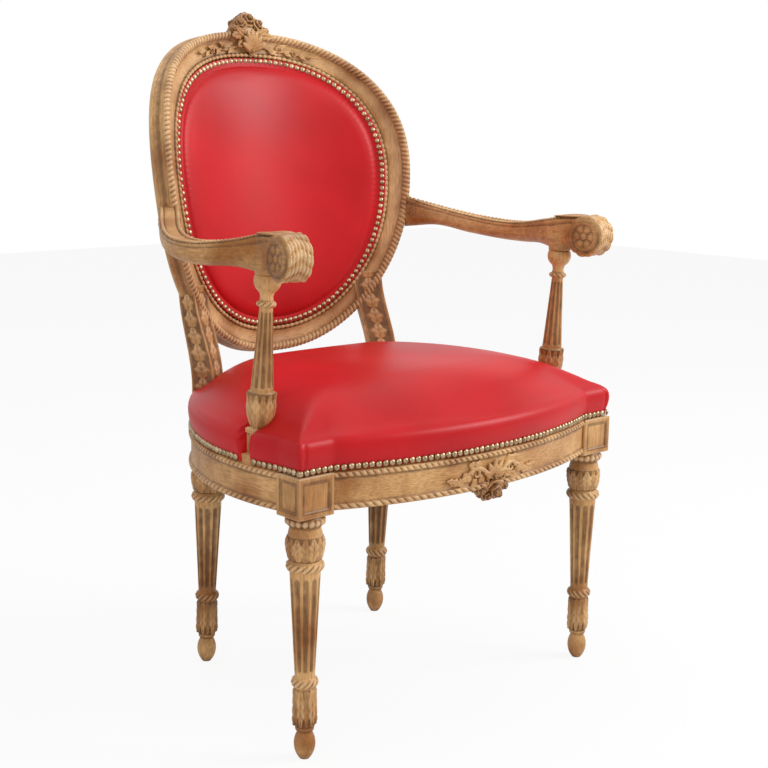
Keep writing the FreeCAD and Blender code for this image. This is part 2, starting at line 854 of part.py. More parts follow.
def seat_outline(inset, height):
    """The plan of the upholstery: drawn in from the rails' outer lines, then scaled down over the crown."""
    edge = min(inset, land_setback + seat_roll)
    edge_radius = side_radius - edge
    half_width = side_centre.x + edge_radius
    scale = 1 - (inset - edge) / half_width
    rear_y = cross_tenon_y + rear_rail_thickness / 2 - edge + land_setback
    pivot_y = rear_y - half_width * seat_rear_share

    def drawn(x, y):
        return Vector(x * scale, pivot_y + (y - pivot_y) * scale, height)

    front_end, corner, side_begin = seat_corner(edge)
    rear_x = side_centre.x + math.sqrt(edge_radius ** 2 - (rear_y - side_centre.y) ** 2)
    middle_y = (side_begin.y + rear_y) / 2
    middle_x = side_centre.x + math.sqrt(edge_radius ** 2 - (middle_y - side_centre.y) ** 2)
    foremost_point = drawn(0, front_centre.y - front_radius + edge)
    return outline([
        drawn(-corner.x, corner.y), drawn(-front_end.x, front_end.y),
        (foremost_point, drawn(front_end.x, front_end.y)),
        drawn(corner.x, corner.y), drawn(side_begin.x, side_begin.y),
        (drawn(middle_x, middle_y), drawn(rear_x, rear_y)),
        drawn(-rear_x, rear_y),
        (drawn(-middle_x, middle_y), drawn(-side_begin.x, side_begin.y)),
    ])


def seat_sheet(inset, low, high):
    """A flat layer of the upholstery."""
    return Part.Face(seat_outline(inset, low)).extrude(Z * (high - low))


def seat_pad(grow, bottom, drop):
    """The crowned seat: level outlines that draw in as they rise, grown outward and lowered by drop."""
    start = land_setback - grow
    levels = [(0, bottom), (0, seat_edge_height - seat_roll)]
    for angle in (20, 40, 60, 80):
        across = seat_roll * (1 - math.cos(radians(angle)))
        levels.append((across, seat_edge_height - seat_roll * (1 - math.sin(radians(angle)))))
    for share in (0.08, 0.18, 0.3, 0.44, 0.6, 0.78, 1.0):
        rise = 1 - (1 - share) ** 2
        levels.append((seat_roll + seat_slope * share, seat_edge_height + seat_crown * rise))
    sections = [seat_outline(start + across, height - (drop if across else 0)) for across, height in levels]
    return Part.makeLoft(sections, True, True)


def seat_notches(gap):
    """What the arm posts and the rear stiles take out of the upholstery."""
    half = plinth_width / 2 + gap
    inner = plinth_width / 2 + gap
    high = seat_edge_height + 2 * seat_crown
    slot = box(-inner, 3 * rail_thickness, -half, half, rail_top - 20, high)
    slot = placed(slot, post_foot.x, post_foot.y, 0, plinth_turn)
    cup = Part.makeCylinder(cup_diameter / 2 + gap, high, ORIGIN)
    cup = along_post(cup)
    cup = cup.common(box(0, 2 * front_leg_x, -seat_depth, seat_depth, seat_edge_height - cup_sink, 2 * high))
    stile = stile_prism(rail_top - 20, high, gap, stile_depth / 2)
    tail = placed(box(-stile_width, stile_width, 0, 2 * stile_depth, rail_top - 20, high),
                  rear_axis.x, rear_axis.y, 0, -stile_turn)
    return [slot, cup, stile, tail]


def notched(body, gap, hollow=()):
    return body.cut(list(hollow) + both_sides(seat_notches(gap)))


def seat_cover():
    skirt = rail_top + 1.5
    outer = seat_pad(leather + joint_clearance, skirt, 0)
    inner = seat_pad(joint_clearance, skirt - 5, leather)
    return notched(outer, soft_clearance, [inner])


def seat_stuffing():
    body = seat_pad(-soft_clearance, stuffing_level, leather + soft_clearance)
    return notched(body, leather + soft_clearance)


def seat_webbing():
    """Straps from front to rear, and straps from side to side over them."""
    straps = []
    level = webbing_level
    for column in (-1.5, -0.5, 0.5, 1.5):
        x = column * webbing_width * 1.45
        straps.append(box(x - webbing_width / 2, x + webbing_width / 2, -seat_depth, 2 * seat_depth,
                          level, level + webbing_thickness))
    level += webbing_thickness + joint_clearance
    for row in (0.12, 0.36, 0.62):
        y = seat_depth * row
        straps.append(box(-front_leg_spread, front_leg_spread, y - webbing_width / 2, y + webbing_width / 2,
                          level, level + webbing_thickness))
    inside = seat_sheet(land_setback + 4, webbing_level - 1, level + 5)
    cuts = both_sides(seat_notches(soft_clearance))
    return Part.makeCompound([strap.common(inside).cut(cuts) for strap in straps])


def seat_hessian():
    sheet = seat_sheet(land_setback + 2, hessian_level, hessian_level + hessian_thickness)
    return notched(sheet, leather + soft_clearance)


def dust_cloth():
    """The cloth tacked under the rails."""
    low = rail_bottom - hessian_thickness
    sheet = seat_sheet(rail_thickness * 0.45, low, rail_bottom - joint_clearance / 2)
    return sheet.cut(both_sides([block_prism(low - 1, rail_top, 1.0), stile_prism(low - 1, rail_top, 1.0)]))


def back_stations(half_width):
    shares = (0, 0.3, 0.6, 0.8, 0.93, 0.985)
    right = [half_width * share for share in shares]
    return [-u for u in right[:0:-1]] + right


def oval_height(u, half_width, half_height, way):
    """How far the oval reaches up (way 1) or down (way -1) at a distance u from its middle."""
    v = 0.7 * half_height
    for step in range(30):
        stretch = 1 + oval_egg * way * v / half_height
        share = min(abs(u) / (half_width * stretch), 1.0)
        v = half_height * (1 - share ** oval_exponent) ** (1 / oval_exponent)
    return way * max(v, half_height * 0.18)


def back_body(grow, section):
    """A curved layer inside the oval, through upright sections of flat pairs (height, distance in front)."""
    half_width = inner_half_width + grow
    half_height = inner_half_height + grow
    sections = []
    for u in back_stations(half_width):
        high = oval_height(u, half_width, half_height, 1)
        low = oval_height(u, half_width, half_height, -1)
        points = section(abs(u), half_width, low, high)
        sections.append(outline(in_plane(points, lambda v, out: bent(u, v, -out))))
    return Part.makeLoft(sections, True, False)


def back_sheet(grow, front, thickness):
    back = front - thickness
    section = lambda u, half_width, low, high: [(low, front), (high, front), (high, back), (low, back)]
    return leaned(back_body(grow, section))


def crowned(grow, margin, front_low, front_high, back):
    """A pad or skin with a flat margin, that stands out from front_low to front_high in the middle."""
    def section(u, half_width, low, high):
        share = min(u / (half_width - margin), 1.0)
        rise = front_low + 1 + (front_high - front_low - 1) * (1 - share ** 3.2)
        start = low + margin
        end = high - margin
        roll = min(back_roll, (end - start) / 4)
        middle = (high + low) / 2
        knee = front_low + (rise - front_low) * 0.62
        shoulder = front_low + (knee - front_low) * 0.62
        return [
            (low, back), (low, front_low), (start, front_low), ((start + roll * 0.35, shoulder), (start + roll, knee)),
            ((middle, rise), (end - roll, knee)), ((end - roll * 0.35, shoulder), (end, front_low)),
            (high, front_low), (high, back),
        ]
    return leaned(back_body(grow, section))


cover_grow = ring_inner_margin + nail_diameter / 2
cover_back = hessian_thickness + 2 * webbing_thickness + 4 * layer_gap - rebate_depth
cover_front = cover_back + leather
outside_front = rear_rebate_depth - ring_depth - layer_gap


def back_cover():
    outer = crowned(cover_grow, cover_grow + layer_inset, cover_front, back_crown, cover_back)
    inner = crowned(-layer_inset, 0, cover_back, back_crown - leather, cover_back - rebate_depth)
    return outer.cut(inner)


def back_stuffing():
    gap = leather + soft_clearance
    inset = layer_inset + soft_clearance
    low = cover_back + layer_gap
    return crowned(-inset, 0, low, back_crown - gap, low - layer_gap)


def back_hessian():
    return back_sheet(rebate_width / 2, cover_back - layer_gap, hessian_thickness)


def back_webbing():
    """Upright straps on the rebate, and level straps that weave over them."""
    first = webbing_thickness + layer_gap - rebate_depth
    sheets = [back_sheet(rebate_width / 2, first, webbing_thickness)]
    sheets += [back_sheet(rebate_width / 2, first + webbing_thickness + layer_gap, webbing_thickness)]
    straps = []
    reach = 2 * outer_half_height
    for column in (-1, 0, 1):
        x = column * webbing_width * 1.7
        straps.append(sheets[0].common(box(x - webbing_width / 2, x + webbing_width / 2, 0, reach, 0, 4 * reach)))
    for row in (-1, 0, 1):
        z = back_height + row * webbing_width * 1.7
        slab = box(-reach, reach, -reach, reach, z - webbing_width / 2, z + webbing_width / 2)
        slab.rotate(Vector(0, back_y, back_height), X, -back_lean)
        straps.append(sheets[1].common(slab))
    return Part.makeCompound(straps)


def outside_back_cover():
    return back_sheet(cover_grow, outside_front, leather)


def dome(point, forward):
    """A nail head: a shallow dome that stands on point."""
    radius = (nail_diameter ** 2 / 4 + nail_dome ** 2) / (2 * nail_dome)
    low = math.degrees(math.asin((radius - nail_dome) / radius))
    centre = point - forward * (radius - nail_dome)
    return Part.makeSphere(radius, centre, forward, low, 90, 360)


def even_angles(point_at, first, last, pitch):
    """Angles that set points at an even pitch along a curve."""
    steps = 720
    angles = [first + (last - first) * step / steps for step in range(steps + 1)]
    points = [point_at(angle) for angle in angles]
    lengths = [0.0]
    for before, after in zip(points, points[1:]):
        lengths.append(lengths[-1] + (after - before).Length)
    count = int(lengths[-1] / pitch)
    even = lengths[-1] / count
    chosen = []
    index = 0
    for mark in range(count):
        while lengths[index] < (mark + 0.5) * even:
            index += 1
        chosen.append(angles[index])
    return chosen


def oval_nails(depth, way):
    """A row of nail heads round the oval, at a depth behind its face; way 1 faces forward."""
    heads = []
    surface = lambda angle: bent(*oval(angle, nail_half_width, nail_half_height), depth)
    for angle in even_angles(surface, 0, 360, nail_pitch):
        u, v = oval(angle, nail_half_width, nail_half_height)
        turn = math.asin(u / back_radius)
        forward = Vector(-math.sin(turn), -math.cos(turn), 0) * way
        heads.append(leaned(dome(surface(angle), forward)))
    return Part.makeCompound(heads)


def back_nails():
    return oval_nails(-cover_front, 1)


def outside_back_nails():
    return oval_nails(leather - outside_front, -1)


def nail_row(centre, radius, first, last, height):
    """Nail heads on an upright arc, between two directions in plan, as pairs (point, head)."""
    heads = []
    place = lambda angle: centre + Vector(math.cos(radians(angle)), math.sin(radians(angle)), 0) * radius
    for angle in even_angles(place, first, last, nail_pitch):
        point = place(angle)
        heads.append((point, dome(point + Z * height, (point - centre).normalize())))
    return heads


def nail_line(start, end, out, height):
    """Nail heads on a straight run, as nail_row gives them."""
    run = end - start
    count = int(run.Length / nail_pitch + 0.4)
    points = [start + run * ((index + 0.5) / count) for index in range(count)]
    return [(point, dome(point + Z * height, out)) for point in points]


def seat_nails():
    """One row along the lower edge of the seat leather, with a gap at each plinth."""
    height = rail_top + nail_row_rise
    inset = land_setback - leather - joint_clearance
    front_end, corner, side_begin = seat_corner(inset)
    margin = nail_diameter / 2 + 1
    half = math.degrees(math.asin(front_end.x / (front_radius - inset)))
    row = nail_row(front_centre, front_radius - inset, -90 - half, -90 + half, height)
    heads = [head for point, head in row]
    first = math.degrees(math.atan2(side_begin.y - side_centre.y, side_begin.x - side_centre.x))
    end = side_end - side_centre
    last = math.degrees(math.atan2(end.y, end.x) - margin / side_radius)
    sides = nail_line(front_end, corner - X * margin, Y * -1, height)
    sides += nail_line(corner + Y * margin, side_begin, X, height)
    sides += nail_row(side_centre, side_radius - inset, first, last, height)
    for point, head in sides:
        if abs(point.y - post_foot.y) > plinth_width / 2 + margin:
            heads += [head, mirrored(head)]
    return Part.makeCompound(heads)


# Braces and pegs

def seat_inside(low, high):
    """The space inside the four seat rails between two heights."""
    inside = seat_sheet(rail_thickness + joint_clearance, low, high)
    front_of_rear_rail = cross_tenon_y - rear_rail_thickness / 2 - joint_clearance
    return inside.common(box(-front_leg_x, front_leg_x, -front_leg_x, front_of_rear_rail, low, high))


def corner_brace(x, y, turn):
    """A glue block across a corner, hollowed a little under the webbing."""
    low = leg_height + tenon_shoulder
    high = land_top - brace_drop
    half = brace_length / 2
    bar = box(-half, half, -brace_width / 2, brace_width / 2, low, high)
    bar = placed(bar, x, y, 0, turn)
    posts = [block_prism(low - 1, high + 1, joint_clearance), stile_prism(low - 1, high + 1, joint_clearance)]
    return bar.common(seat_inside(low, high)).cut(posts)


def front_brace():
    x = front_leg_x - half_block_width - brace_width * 0.35
    y = half_block_depth + brace_width * 0.35
    return corner_brace(x, y, 45)


def rear_brace():
    return corner_brace(rear_leg_x - brace_width * 0.2, seat_depth - rear_block_inset - brace_width * 0.75, -37)


def joint_pegs():
    radius = peg_diameter / 2
    pins = seat_pegs(radius)
    front = block_prism(leg_height, land_top)
    rear = stile_prism(leg_height, land_top)
    pegs = [pins[0].common(front), pins[1].common(front), pins[2].common(rear), pins[3].common(rear)]
    length = (ring_depth + tenon_thickness) / 2 + peg_end - 1
    pegs += [leaned(ring_peg(stile_top_angle, 1, radius, length))]
    pegs += [leaned(ring_peg(stile_foot_angle, -1, radius, length))]
    return Part.makeCompound(both_sides(pegs))


# Carvings

def bud(point, radius):
    return Part.makeSphere(radius, point)


def leaf(point, way, length, radius):
    """A round leaf, pointed at both ends, with its middle at a point and its length along a direction."""
    body = turned([(0, -length / 2), ((radius, 0), (0, length / 2))])
    body.Placement = FreeCAD.Placement(point, FreeCAD.Rotation(Z, way))
    return body


def crest_carving():
    """A group of flowers over a hanging palmette, with a spray to each side, on the top of the oval."""
    place = lambda u, v, out: bent(u, outer_half_height + v, -out)
    middle = -ring_depth / 2
    flower = crest_rise * 0.4
    aside = crest_width / 2 - flower
    shapes = [bud(place(0, crest_rise - flower, middle * 0.75), flower), bud(place(0, 2, 0), flower * 1.2)]
    shapes += [leaf(place(0, -crest_rise * 0.6, 0), Z, crest_depth * 2, crest_depth / 3)]
    for way in (-1, 1):
        shapes.append(bud(place(way * aside * 0.6, flower * 0.7, middle * 0.7), flower * 1.1))
        shapes.append(bud(place(way * aside, 1, middle * 0.5), flower))
        tip = place(way * crest_width * 0.95, -8, 0)
        root = place(way * aside * 0.7, -3, 0)
        shapes.append(leaf((root + tip) * 0.5, tip - root, (tip - root).Length, crest_depth / 4))
    return leaned(fused(shapes).cut(oval_top))


def front_rail_carving():
    """A flower boss with leaf scrolls at the middle of the front rail; the boss hangs below the rail."""
    middle = leg_height + rail_face_height / 2
    place = lambda x, up, sunk: Vector(x, front_line(x, rope_relief) + sunk, up)
    bloom = boss_depth / 2
    petal = boss_width * 0.24
    shapes = [bud(place(0, leg_height + bloom - boss_drop, bloom - boss_relief), bloom)]
    for way in (-1, 1):
        aside = way * (boss_width / 2 - petal)
        shapes.append(bud(place(aside, leg_height + petal - boss_drop * 0.8, bloom), petal))
        for step, size in ((0.6, 12), (0.95, 10), (1.3, 7.5)):
            x = way * boss_width * step
            point = place(x, middle - 2, size - boss_relief * 0.7)
            shapes.append(leaf(point, X, boss_width * 0.55, size))
    wood = bowed_rail(front_centre, front_radius, Vector(-front_leg_x, 0, 0), Vector(front_leg_x, 0, 0))
    return fused(shapes).cut(wood)


rail_face_y = front_centre.y - front_radius + rope_relief
foremost = rail_face_y - boss_relief
lean_sine = math.sin(radians(back_lean))
lean_cosine = math.cos(radians(back_lean))
rearmost = back_y + (outer_half_height - rear_bevel) * lean_sine + ring_depth * lean_cosine
plan_middle = (foremost + rearmost) / 2


def save(name, shape):
    shape = shape.copy()
    shape.translate(Vector(0, -plan_middle, 0))
    shape.exportStep("parts/" + name + ".step")
    print(name, len(shape.Solids), round(shape.Volume), shape.isValid())


def main():
    os.makedirs("parts", exist_ok=True)
    pairs = [
        ("front_leg", front_leg), ("side_rail", side_rail), ("rear_stile", rear_stile), ("arm", arm),
        ("arm_post", arm_post), ("front_brace", front_brace), ("rear_brace", rear_brace),
    ]
    for name, make in pairs:
        shape = make()
        save(name + "_right", shape)
        save(name + "_left", mirrored(shape))
    save("crest_rail", ring_rail(oval_top, 1))
    save("bottom_back_rail", ring_rail(oval_foot, -1))
    singles = [
        ("front_rail", front_rail), ("rear_rail", rear_rail), ("seat_cover", seat_cover),
        ("seat_stuffing", seat_stuffing), ("seat_hessian", seat_hessian), ("seat_webbing", seat_webbing),
        ("dust_cloth", dust_cloth), ("back_cover", back_cover), ("back_stuffing", back_stuffing),
        ("back_hessian", back_hessian), ("back_webbing", back_webbing),
        ("outside_back_cover", outside_back_cover), ("seat_nails", seat_nails), ("back_nails", back_nails),
        ("outside_back_nails", outside_back_nails), ("joint_pegs", joint_pegs),
        ("crest_carving", crest_carving), ("front_rail_carving", front_rail_carving),
    ]
    for name, make in singles:
        save(name, make())


main()
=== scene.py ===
# %% [markdown]
# # An open armchair with an oval back
# The chair is carved and bleached beech, with red leather and brass nails. Its plain solids come
# from the CAD. Here each visible piece is made again as a fine mesh, with ropes, pearls and leaves.

# %% Load the frame
import json
import math
import bpy
import numpy as np
from mathutils import Matrix


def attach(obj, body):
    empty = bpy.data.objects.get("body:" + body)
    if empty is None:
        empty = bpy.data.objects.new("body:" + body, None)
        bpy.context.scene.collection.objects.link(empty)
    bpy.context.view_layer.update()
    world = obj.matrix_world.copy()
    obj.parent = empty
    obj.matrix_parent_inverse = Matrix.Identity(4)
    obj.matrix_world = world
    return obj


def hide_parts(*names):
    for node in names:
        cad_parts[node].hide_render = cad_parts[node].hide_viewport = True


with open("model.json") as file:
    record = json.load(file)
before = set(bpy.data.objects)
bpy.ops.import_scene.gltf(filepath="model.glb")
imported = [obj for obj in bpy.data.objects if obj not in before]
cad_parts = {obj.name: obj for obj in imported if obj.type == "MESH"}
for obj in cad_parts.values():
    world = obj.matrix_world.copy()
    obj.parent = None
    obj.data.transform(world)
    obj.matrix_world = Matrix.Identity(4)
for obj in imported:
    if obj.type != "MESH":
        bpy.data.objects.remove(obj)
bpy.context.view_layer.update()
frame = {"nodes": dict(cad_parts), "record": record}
print("CAD nodes:", len(frame["nodes"]))

# %% [markdown]
# ## Sizes
# These repeat the sizes of the CAD, in millimetres. Y = 0 is the line of the front legs until a mesh is made.

# %% Sizes of the seat, the legs and the oval
PLAN_MIDDLE = 215.46
FRONT_LEG_X, LEG_HEIGHT, RAIL_BOTTOM, RAIL_TOP = 275.0, 331.0, 335.0, 385.0
BLOCK_HALF_WIDTH, BLOCK_HALF_DEPTH, RAIL_REVEAL = 29.0, 23.5, 2.0
FACE_X, FACE_Y = FRONT_LEG_X + BLOCK_HALF_WIDTH - RAIL_REVEAL, RAIL_REVEAL - BLOCK_HALF_DEPTH
BOW_END, FRONT_BOW, SIDE_BOW = FRONT_LEG_X - BLOCK_HALF_WIDTH, 49.0, 41.0
STILE_HALF_WIDTH, STILE_OUTWARD, STILE_INWARD, LEG_SPLAY = 23.5, 17.0, 27.0, 10.5
POST_Y, POST_SETBACK, PLINTH_HALF, PLINTH_TOP = 86.0, 24.0, 11.0, 46.0
NAIL_PITCH, NAIL_RADIUS, NAIL_RISE, NAIL_LEVEL, NAIL_INSET = 9.6, 4.7, 3.8, 391.0, 2.8
STILE_TURN = math.radians(37)
REAR_AXIS = np.array([174.5, 351.0, 0.0])
BACK_Y, BACK_HEIGHT, BACK_RADIUS, LEAN = 440.6, 708.0, 341.0, math.radians(8.6)
NAIL_OVAL, INNER_OVAL, ROPE_OVAL, OUTER_OVAL = (195.3, 204.3), (186.3, 195.3), (226.0, 243.5), (231.5, 249.0)
RING_DEPTH = 28.0
POST_TOP = np.array([281.0, 69.0, 631.0])
HAND_HEIGHT, HAND_REACH, HAND_RADIUS, HAND_HALF_WIDTH = 656.0, 56.0, 28.5, 19.0
OUT = np.array([math.sin(STILE_TURN), math.cos(STILE_TURN), 0])
SIDE = np.array([math.cos(STILE_TURN), -math.sin(STILE_TURN), 0])


def bow(start, end, rise):
    """Centre and radius of the arc from start to end that stands out by rise."""
    chord = end - start
    half = np.linalg.norm(chord) / 2
    radius = (half * half + rise * rise) / (2 * rise)
    side = np.array([chord[1], -chord[0], 0]) / (2 * half)
    return (start + end) / 2 - side * (radius - rise), radius


FRONT_C, FRONT_R = bow(np.array([-BOW_END, FACE_Y, 0]), np.array([BOW_END, FACE_Y, 0]), FRONT_BOW)
SIDE_C, SIDE_R = bow(np.array([FACE_X, BLOCK_HALF_DEPTH, 0]),
                     REAR_AXIS + OUT * STILE_OUTWARD + SIDE * STILE_HALF_WIDTH, SIDE_BOW)
POST_FOOT = np.array([SIDE_C[0] + math.sqrt(SIDE_R ** 2 - (POST_Y - SIDE_C[1]) ** 2) - POST_SETBACK,
                      POST_Y, RAIL_TOP])
print("bows", FRONT_R, SIDE_R, "post foot", POST_FOOT)

# %% [markdown]
# ## How a piece is made
# A piece is a set of grids of points. Each point also says how deep it lies, so that its hollows can be
# darkened, as painted shade along with the dark wax in them, and its ridges made pale where rubbed.

# %% The maker of pieces
TAU = 2 * math.pi


class Piece:
    def __init__(self):
        self.points, self.faces, self.depth, self.count = [], [], [], 0

    def grid(self, points, depth=0.0, round_cols=True, caps=(True, True), mirror=False):
        """Adds rows x columns of points as a skin; caps close its first and last rows."""
        points = np.array(points, float)
        depth = np.broadcast_to(depth, points.shape[:2])
        if mirror:
            points[..., 0] *= -1
        rows, cols = points.shape[:2]
        last = cols if round_cols else cols - 1
        row, col = np.meshgrid(np.arange(rows - 1), np.arange(last), indexing="ij")
        after = (col + 1) % cols
        quads = np.stack([row * cols + col, row * cols + after,
                          (row + 1) * cols + after, (row + 1) * cols + col], -1)
        quads = quads.reshape(-1, 4)
        flat = points.reshape(-1, 3)
        middle = flat.mean(axis=0)
        a, b, c = (flat[quads[:, k]] - middle for k in (0, 1, 3))
        inside_out = np.einsum("ij,ij->i", a, np.cross(b, c)).sum() < 0
        faces = quads.tolist()
        extra = []
        for end, wanted in zip((0, rows - 1), caps):
            if wanted:
                centre = len(flat) + len(extra)
                extra.append(points[end].mean(axis=0))
                ring = [end * cols + k for k in range(cols)]
                pairs = zip(ring, ring[1:] + ring[:1])
                faces += [[centre, q, p] if end == 0 else [centre, p, q] for p, q in pairs]
        if inside_out:
            faces = [face[::-1] for face in faces]
        self.faces += [[self.count + k for k in face] for face in faces]
        self.points += [flat] + ([np.array(extra)] if extra else [])
        self.depth += [depth.ravel(), np.zeros(len(extra))]
        self.count += len(flat) + len(extra)
        return self

    def make(self, name, material, slot, replaces):
        points = np.concatenate(self.points)
        points[:, 1] -= PLAN_MIDDLE
        mesh = bpy.data.meshes.new(name)
        mesh.from_pydata((points * 0.001).tolist(), [], self.faces)
        hollow = mesh.attributes.new("hollow", "FLOAT", "POINT")
        hollow.data.foreach_set("value", np.concatenate(self.depth).astype(np.float32))
        mesh.shade_smooth()
        mesh.materials.append(material)
        made = bpy.data.objects.new(name, mesh)
        bpy.context.scene.collection.objects.link(made)
        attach(made, "root")
        if replaces:
            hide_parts(*replaces)
        print(name, len(points), "points")
        return made


# %% [markdown]
# ## Patterns of the carver
# A rope is a bead cut into slanting strands, pearls are a bead cut into balls, and a leaf has a rib
# and lobes.

# %% Ropes, pearls, flutes and leaves
def strand(turns):
    """1 on the ridge of a strand, 0 in the groove between two."""
    return np.abs(np.sin(np.pi * turns)) ** 0.7


def pearl(turns, across):
    """A row of balls: turns counts them along the row, across runs from -1 to 1."""
    along = 2 * (turns % 1) - 1
    return np.sqrt(np.clip(1 - along ** 2 - across ** 2, 0, 1))


def hump(value, low, high):
    """0 at low and high, 1 half way, like a turned bead."""
    t = np.clip((value - low) / (high - low), 0, 1) * 2 - 1
    return np.sqrt(np.clip(1 - t * t, 0, 1))


def leaf(across, t, lobes=3):
    """Height of a carved leaf, 0 to 1: across from -1 to 1, t from its root to its tip."""
    inside = np.clip(t, 0, 1)
    width = np.sin(np.pi * inside ** 0.75) ** 0.6 * (0.84 + 0.16 * np.cos(TAU * lobes * inside))
    edge = np.clip(1 - np.abs(across) / np.maximum(width, 0.03), 0, 1)
    body = np.minimum(edge * 3, 1) * (0.5 + 0.5 * inside)
    rib = 0.4 * np.exp(-(across / 0.09) ** 2)
    veins = 0.16 * np.cos(TAU * (lobes + 1) * (inside - 0.35 * np.abs(across)))
    return np.clip(body * (1 - rib + veins), 0, 1.2) * ((t > 0) & (t < 1))


def leaves(angle, t, count):
    """Two rings of leaves round a turned piece, the rear ones between the front ones."""
    cell = (angle / TAU * count) % 1 * 2 - 1
    between = (angle / TAU * count + 0.5) % 1 * 2 - 1
    return np.maximum(leaf(cell, t), 0.55 * leaf(between, t * 1.02))


def flute(angle, z, radius, count, low, high):
    """Depth from 0 to 1 of round-ended grooves round a shaft."""
    across = ((angle / TAU * count) % 1 - 0.5) * TAU / count * radius
    half = math.pi * radius / count * 0.66
    beyond = np.maximum(np.maximum(low - z, z - high), 0)
    reach = np.hypot(across, beyond) / half
    return np.sqrt(np.clip(1 - reach ** 2, 0, 1))


def arc(start, middle, end, steps=9):
    """Points of the circle through three flat points, without the first."""
    (ax, ay), (bx, by), (cx, cy) = start, middle, end
    d = 2 * (ax * (by - cy) + bx * (cy - ay) + cx * (ay - by))
    x = ((ax**2 + ay**2) * (by - cy) + (bx**2 + by**2) * (cy - ay) + (cx**2 + cy**2) * (ay - by)) / d
    y = ((ax**2 + ay**2) * (cx - bx) + (bx**2 + by**2) * (ax - cx) + (cx**2 + cy**2) * (bx - ax)) / d
    radius = math.hypot(ax - x, ay - y)
    first, turn = math.atan2(ay - y, ax - x), lambda p, q: (q - p + math.pi) % TAU - math.pi
    mid, last = math.atan2(by - y, bx - x), math.atan2(cy - y, cx - x)
    sweep = turn(first, mid) + turn(mid, last)
    angles = [first + sweep * k / steps for k in range(1, steps + 1)]
    return [(x + radius * math.cos(a), y + radius * math.sin(a)) for a in angles]


def profile(steps):
    """Radius against height: pairs are corners, and (middle, end) is an arc."""
    points = [steps[0]]
    for step in steps[1:]:
        points += arc(points[-1], *step) if isinstance(step[0], tuple) else [step]
    radius, height = np.array(points).T
    return np.maximum.accumulate(height + np.arange(len(height)) * 1e-4), radius


def turn_on_lathe(shape, rows, cols, relief):
    """A turned piece on Z: relief(z, angle, radius) gives what the carver adds, and how deep it lies."""
    angles = np.linspace(0, TAU, cols, endpoint=False)
    z, angle = np.meshgrid(rows, angles, indexing="ij")
    radius = np.interp(z, *shape)
    added, depth = relief(z, angle, radius)
    radius = np.maximum(radius + added, 0.5)
    return np.stack([radius * np.cos(angle), radius * np.sin(angle), z], -1), depth


# %% [markdown]
# ## Finishes
# Beech that was bleached and waxed: honey colour, hollows darkened as painted shade along with the dark wax in
# them, pale on rubbed ridges.

# %% Colours and nodes
def colour(text):
    """A colour as the eye reads it, turned to the linear values that light needs."""
    parts = [int(text[k:k + 2], 16) / 255 for k in (0, 2, 4)]
    return tuple(p / 12.92 if p <= 0.04045 else ((p + 0.055) / 1.055) ** 2.4 for p in parts) + (1.0,)


def node(tree, kind, settings=None, inputs=None):
    """One node with its settings, its values and its links."""
    made = tree.nodes.new(kind)
    for key, value in (settings or {}).items():
        setattr(made, key, value)
    for key, value in (inputs or {}).items():
        if isinstance(value, bpy.types.NodeSocket):
            tree.links.new(value, made.inputs[key])
        else:
            made.inputs[key].default_value = value
    return made


def finish(name, roughness, metallic=0.0):
    """A new material with one shader, whose even values are set here."""
    material = bpy.data.materials.new(name)
    material.use_nodes = True
    shader = material.node_tree.nodes["Principled BSDF"]
    shader.inputs["Roughness"].default_value = roughness
    shader.inputs["Metallic"].default_value = metallic
    return material, material.node_tree, shader


def mottled(tree, place, scale, low, high, first, second, detail=4.0):
    """Two colours mixed by a soft pattern between two of its levels."""
    noise = node(tree, "ShaderNodeTexNoise", None, {"Vector": place, "Scale": scale, "Detail": detail})
    level = node(tree, "ShaderNodeMapRange", None, {0: noise.outputs[0], 1: low, 2: high})
    mix = node(tree, "ShaderNodeMix", {"data_type": "RGBA"}, {0: level.outputs[0], 6: first, 7: second})
    return mix.outputs[2], noise.outputs[0]


def bumped(tree, shader, height, strength, distance):
    bump = node(tree, "ShaderNodeBump", None, {"Height": height, "Strength": strength, "Distance": distance})
    tree.links.new(bump.outputs[0], shader.inputs["Normal"])


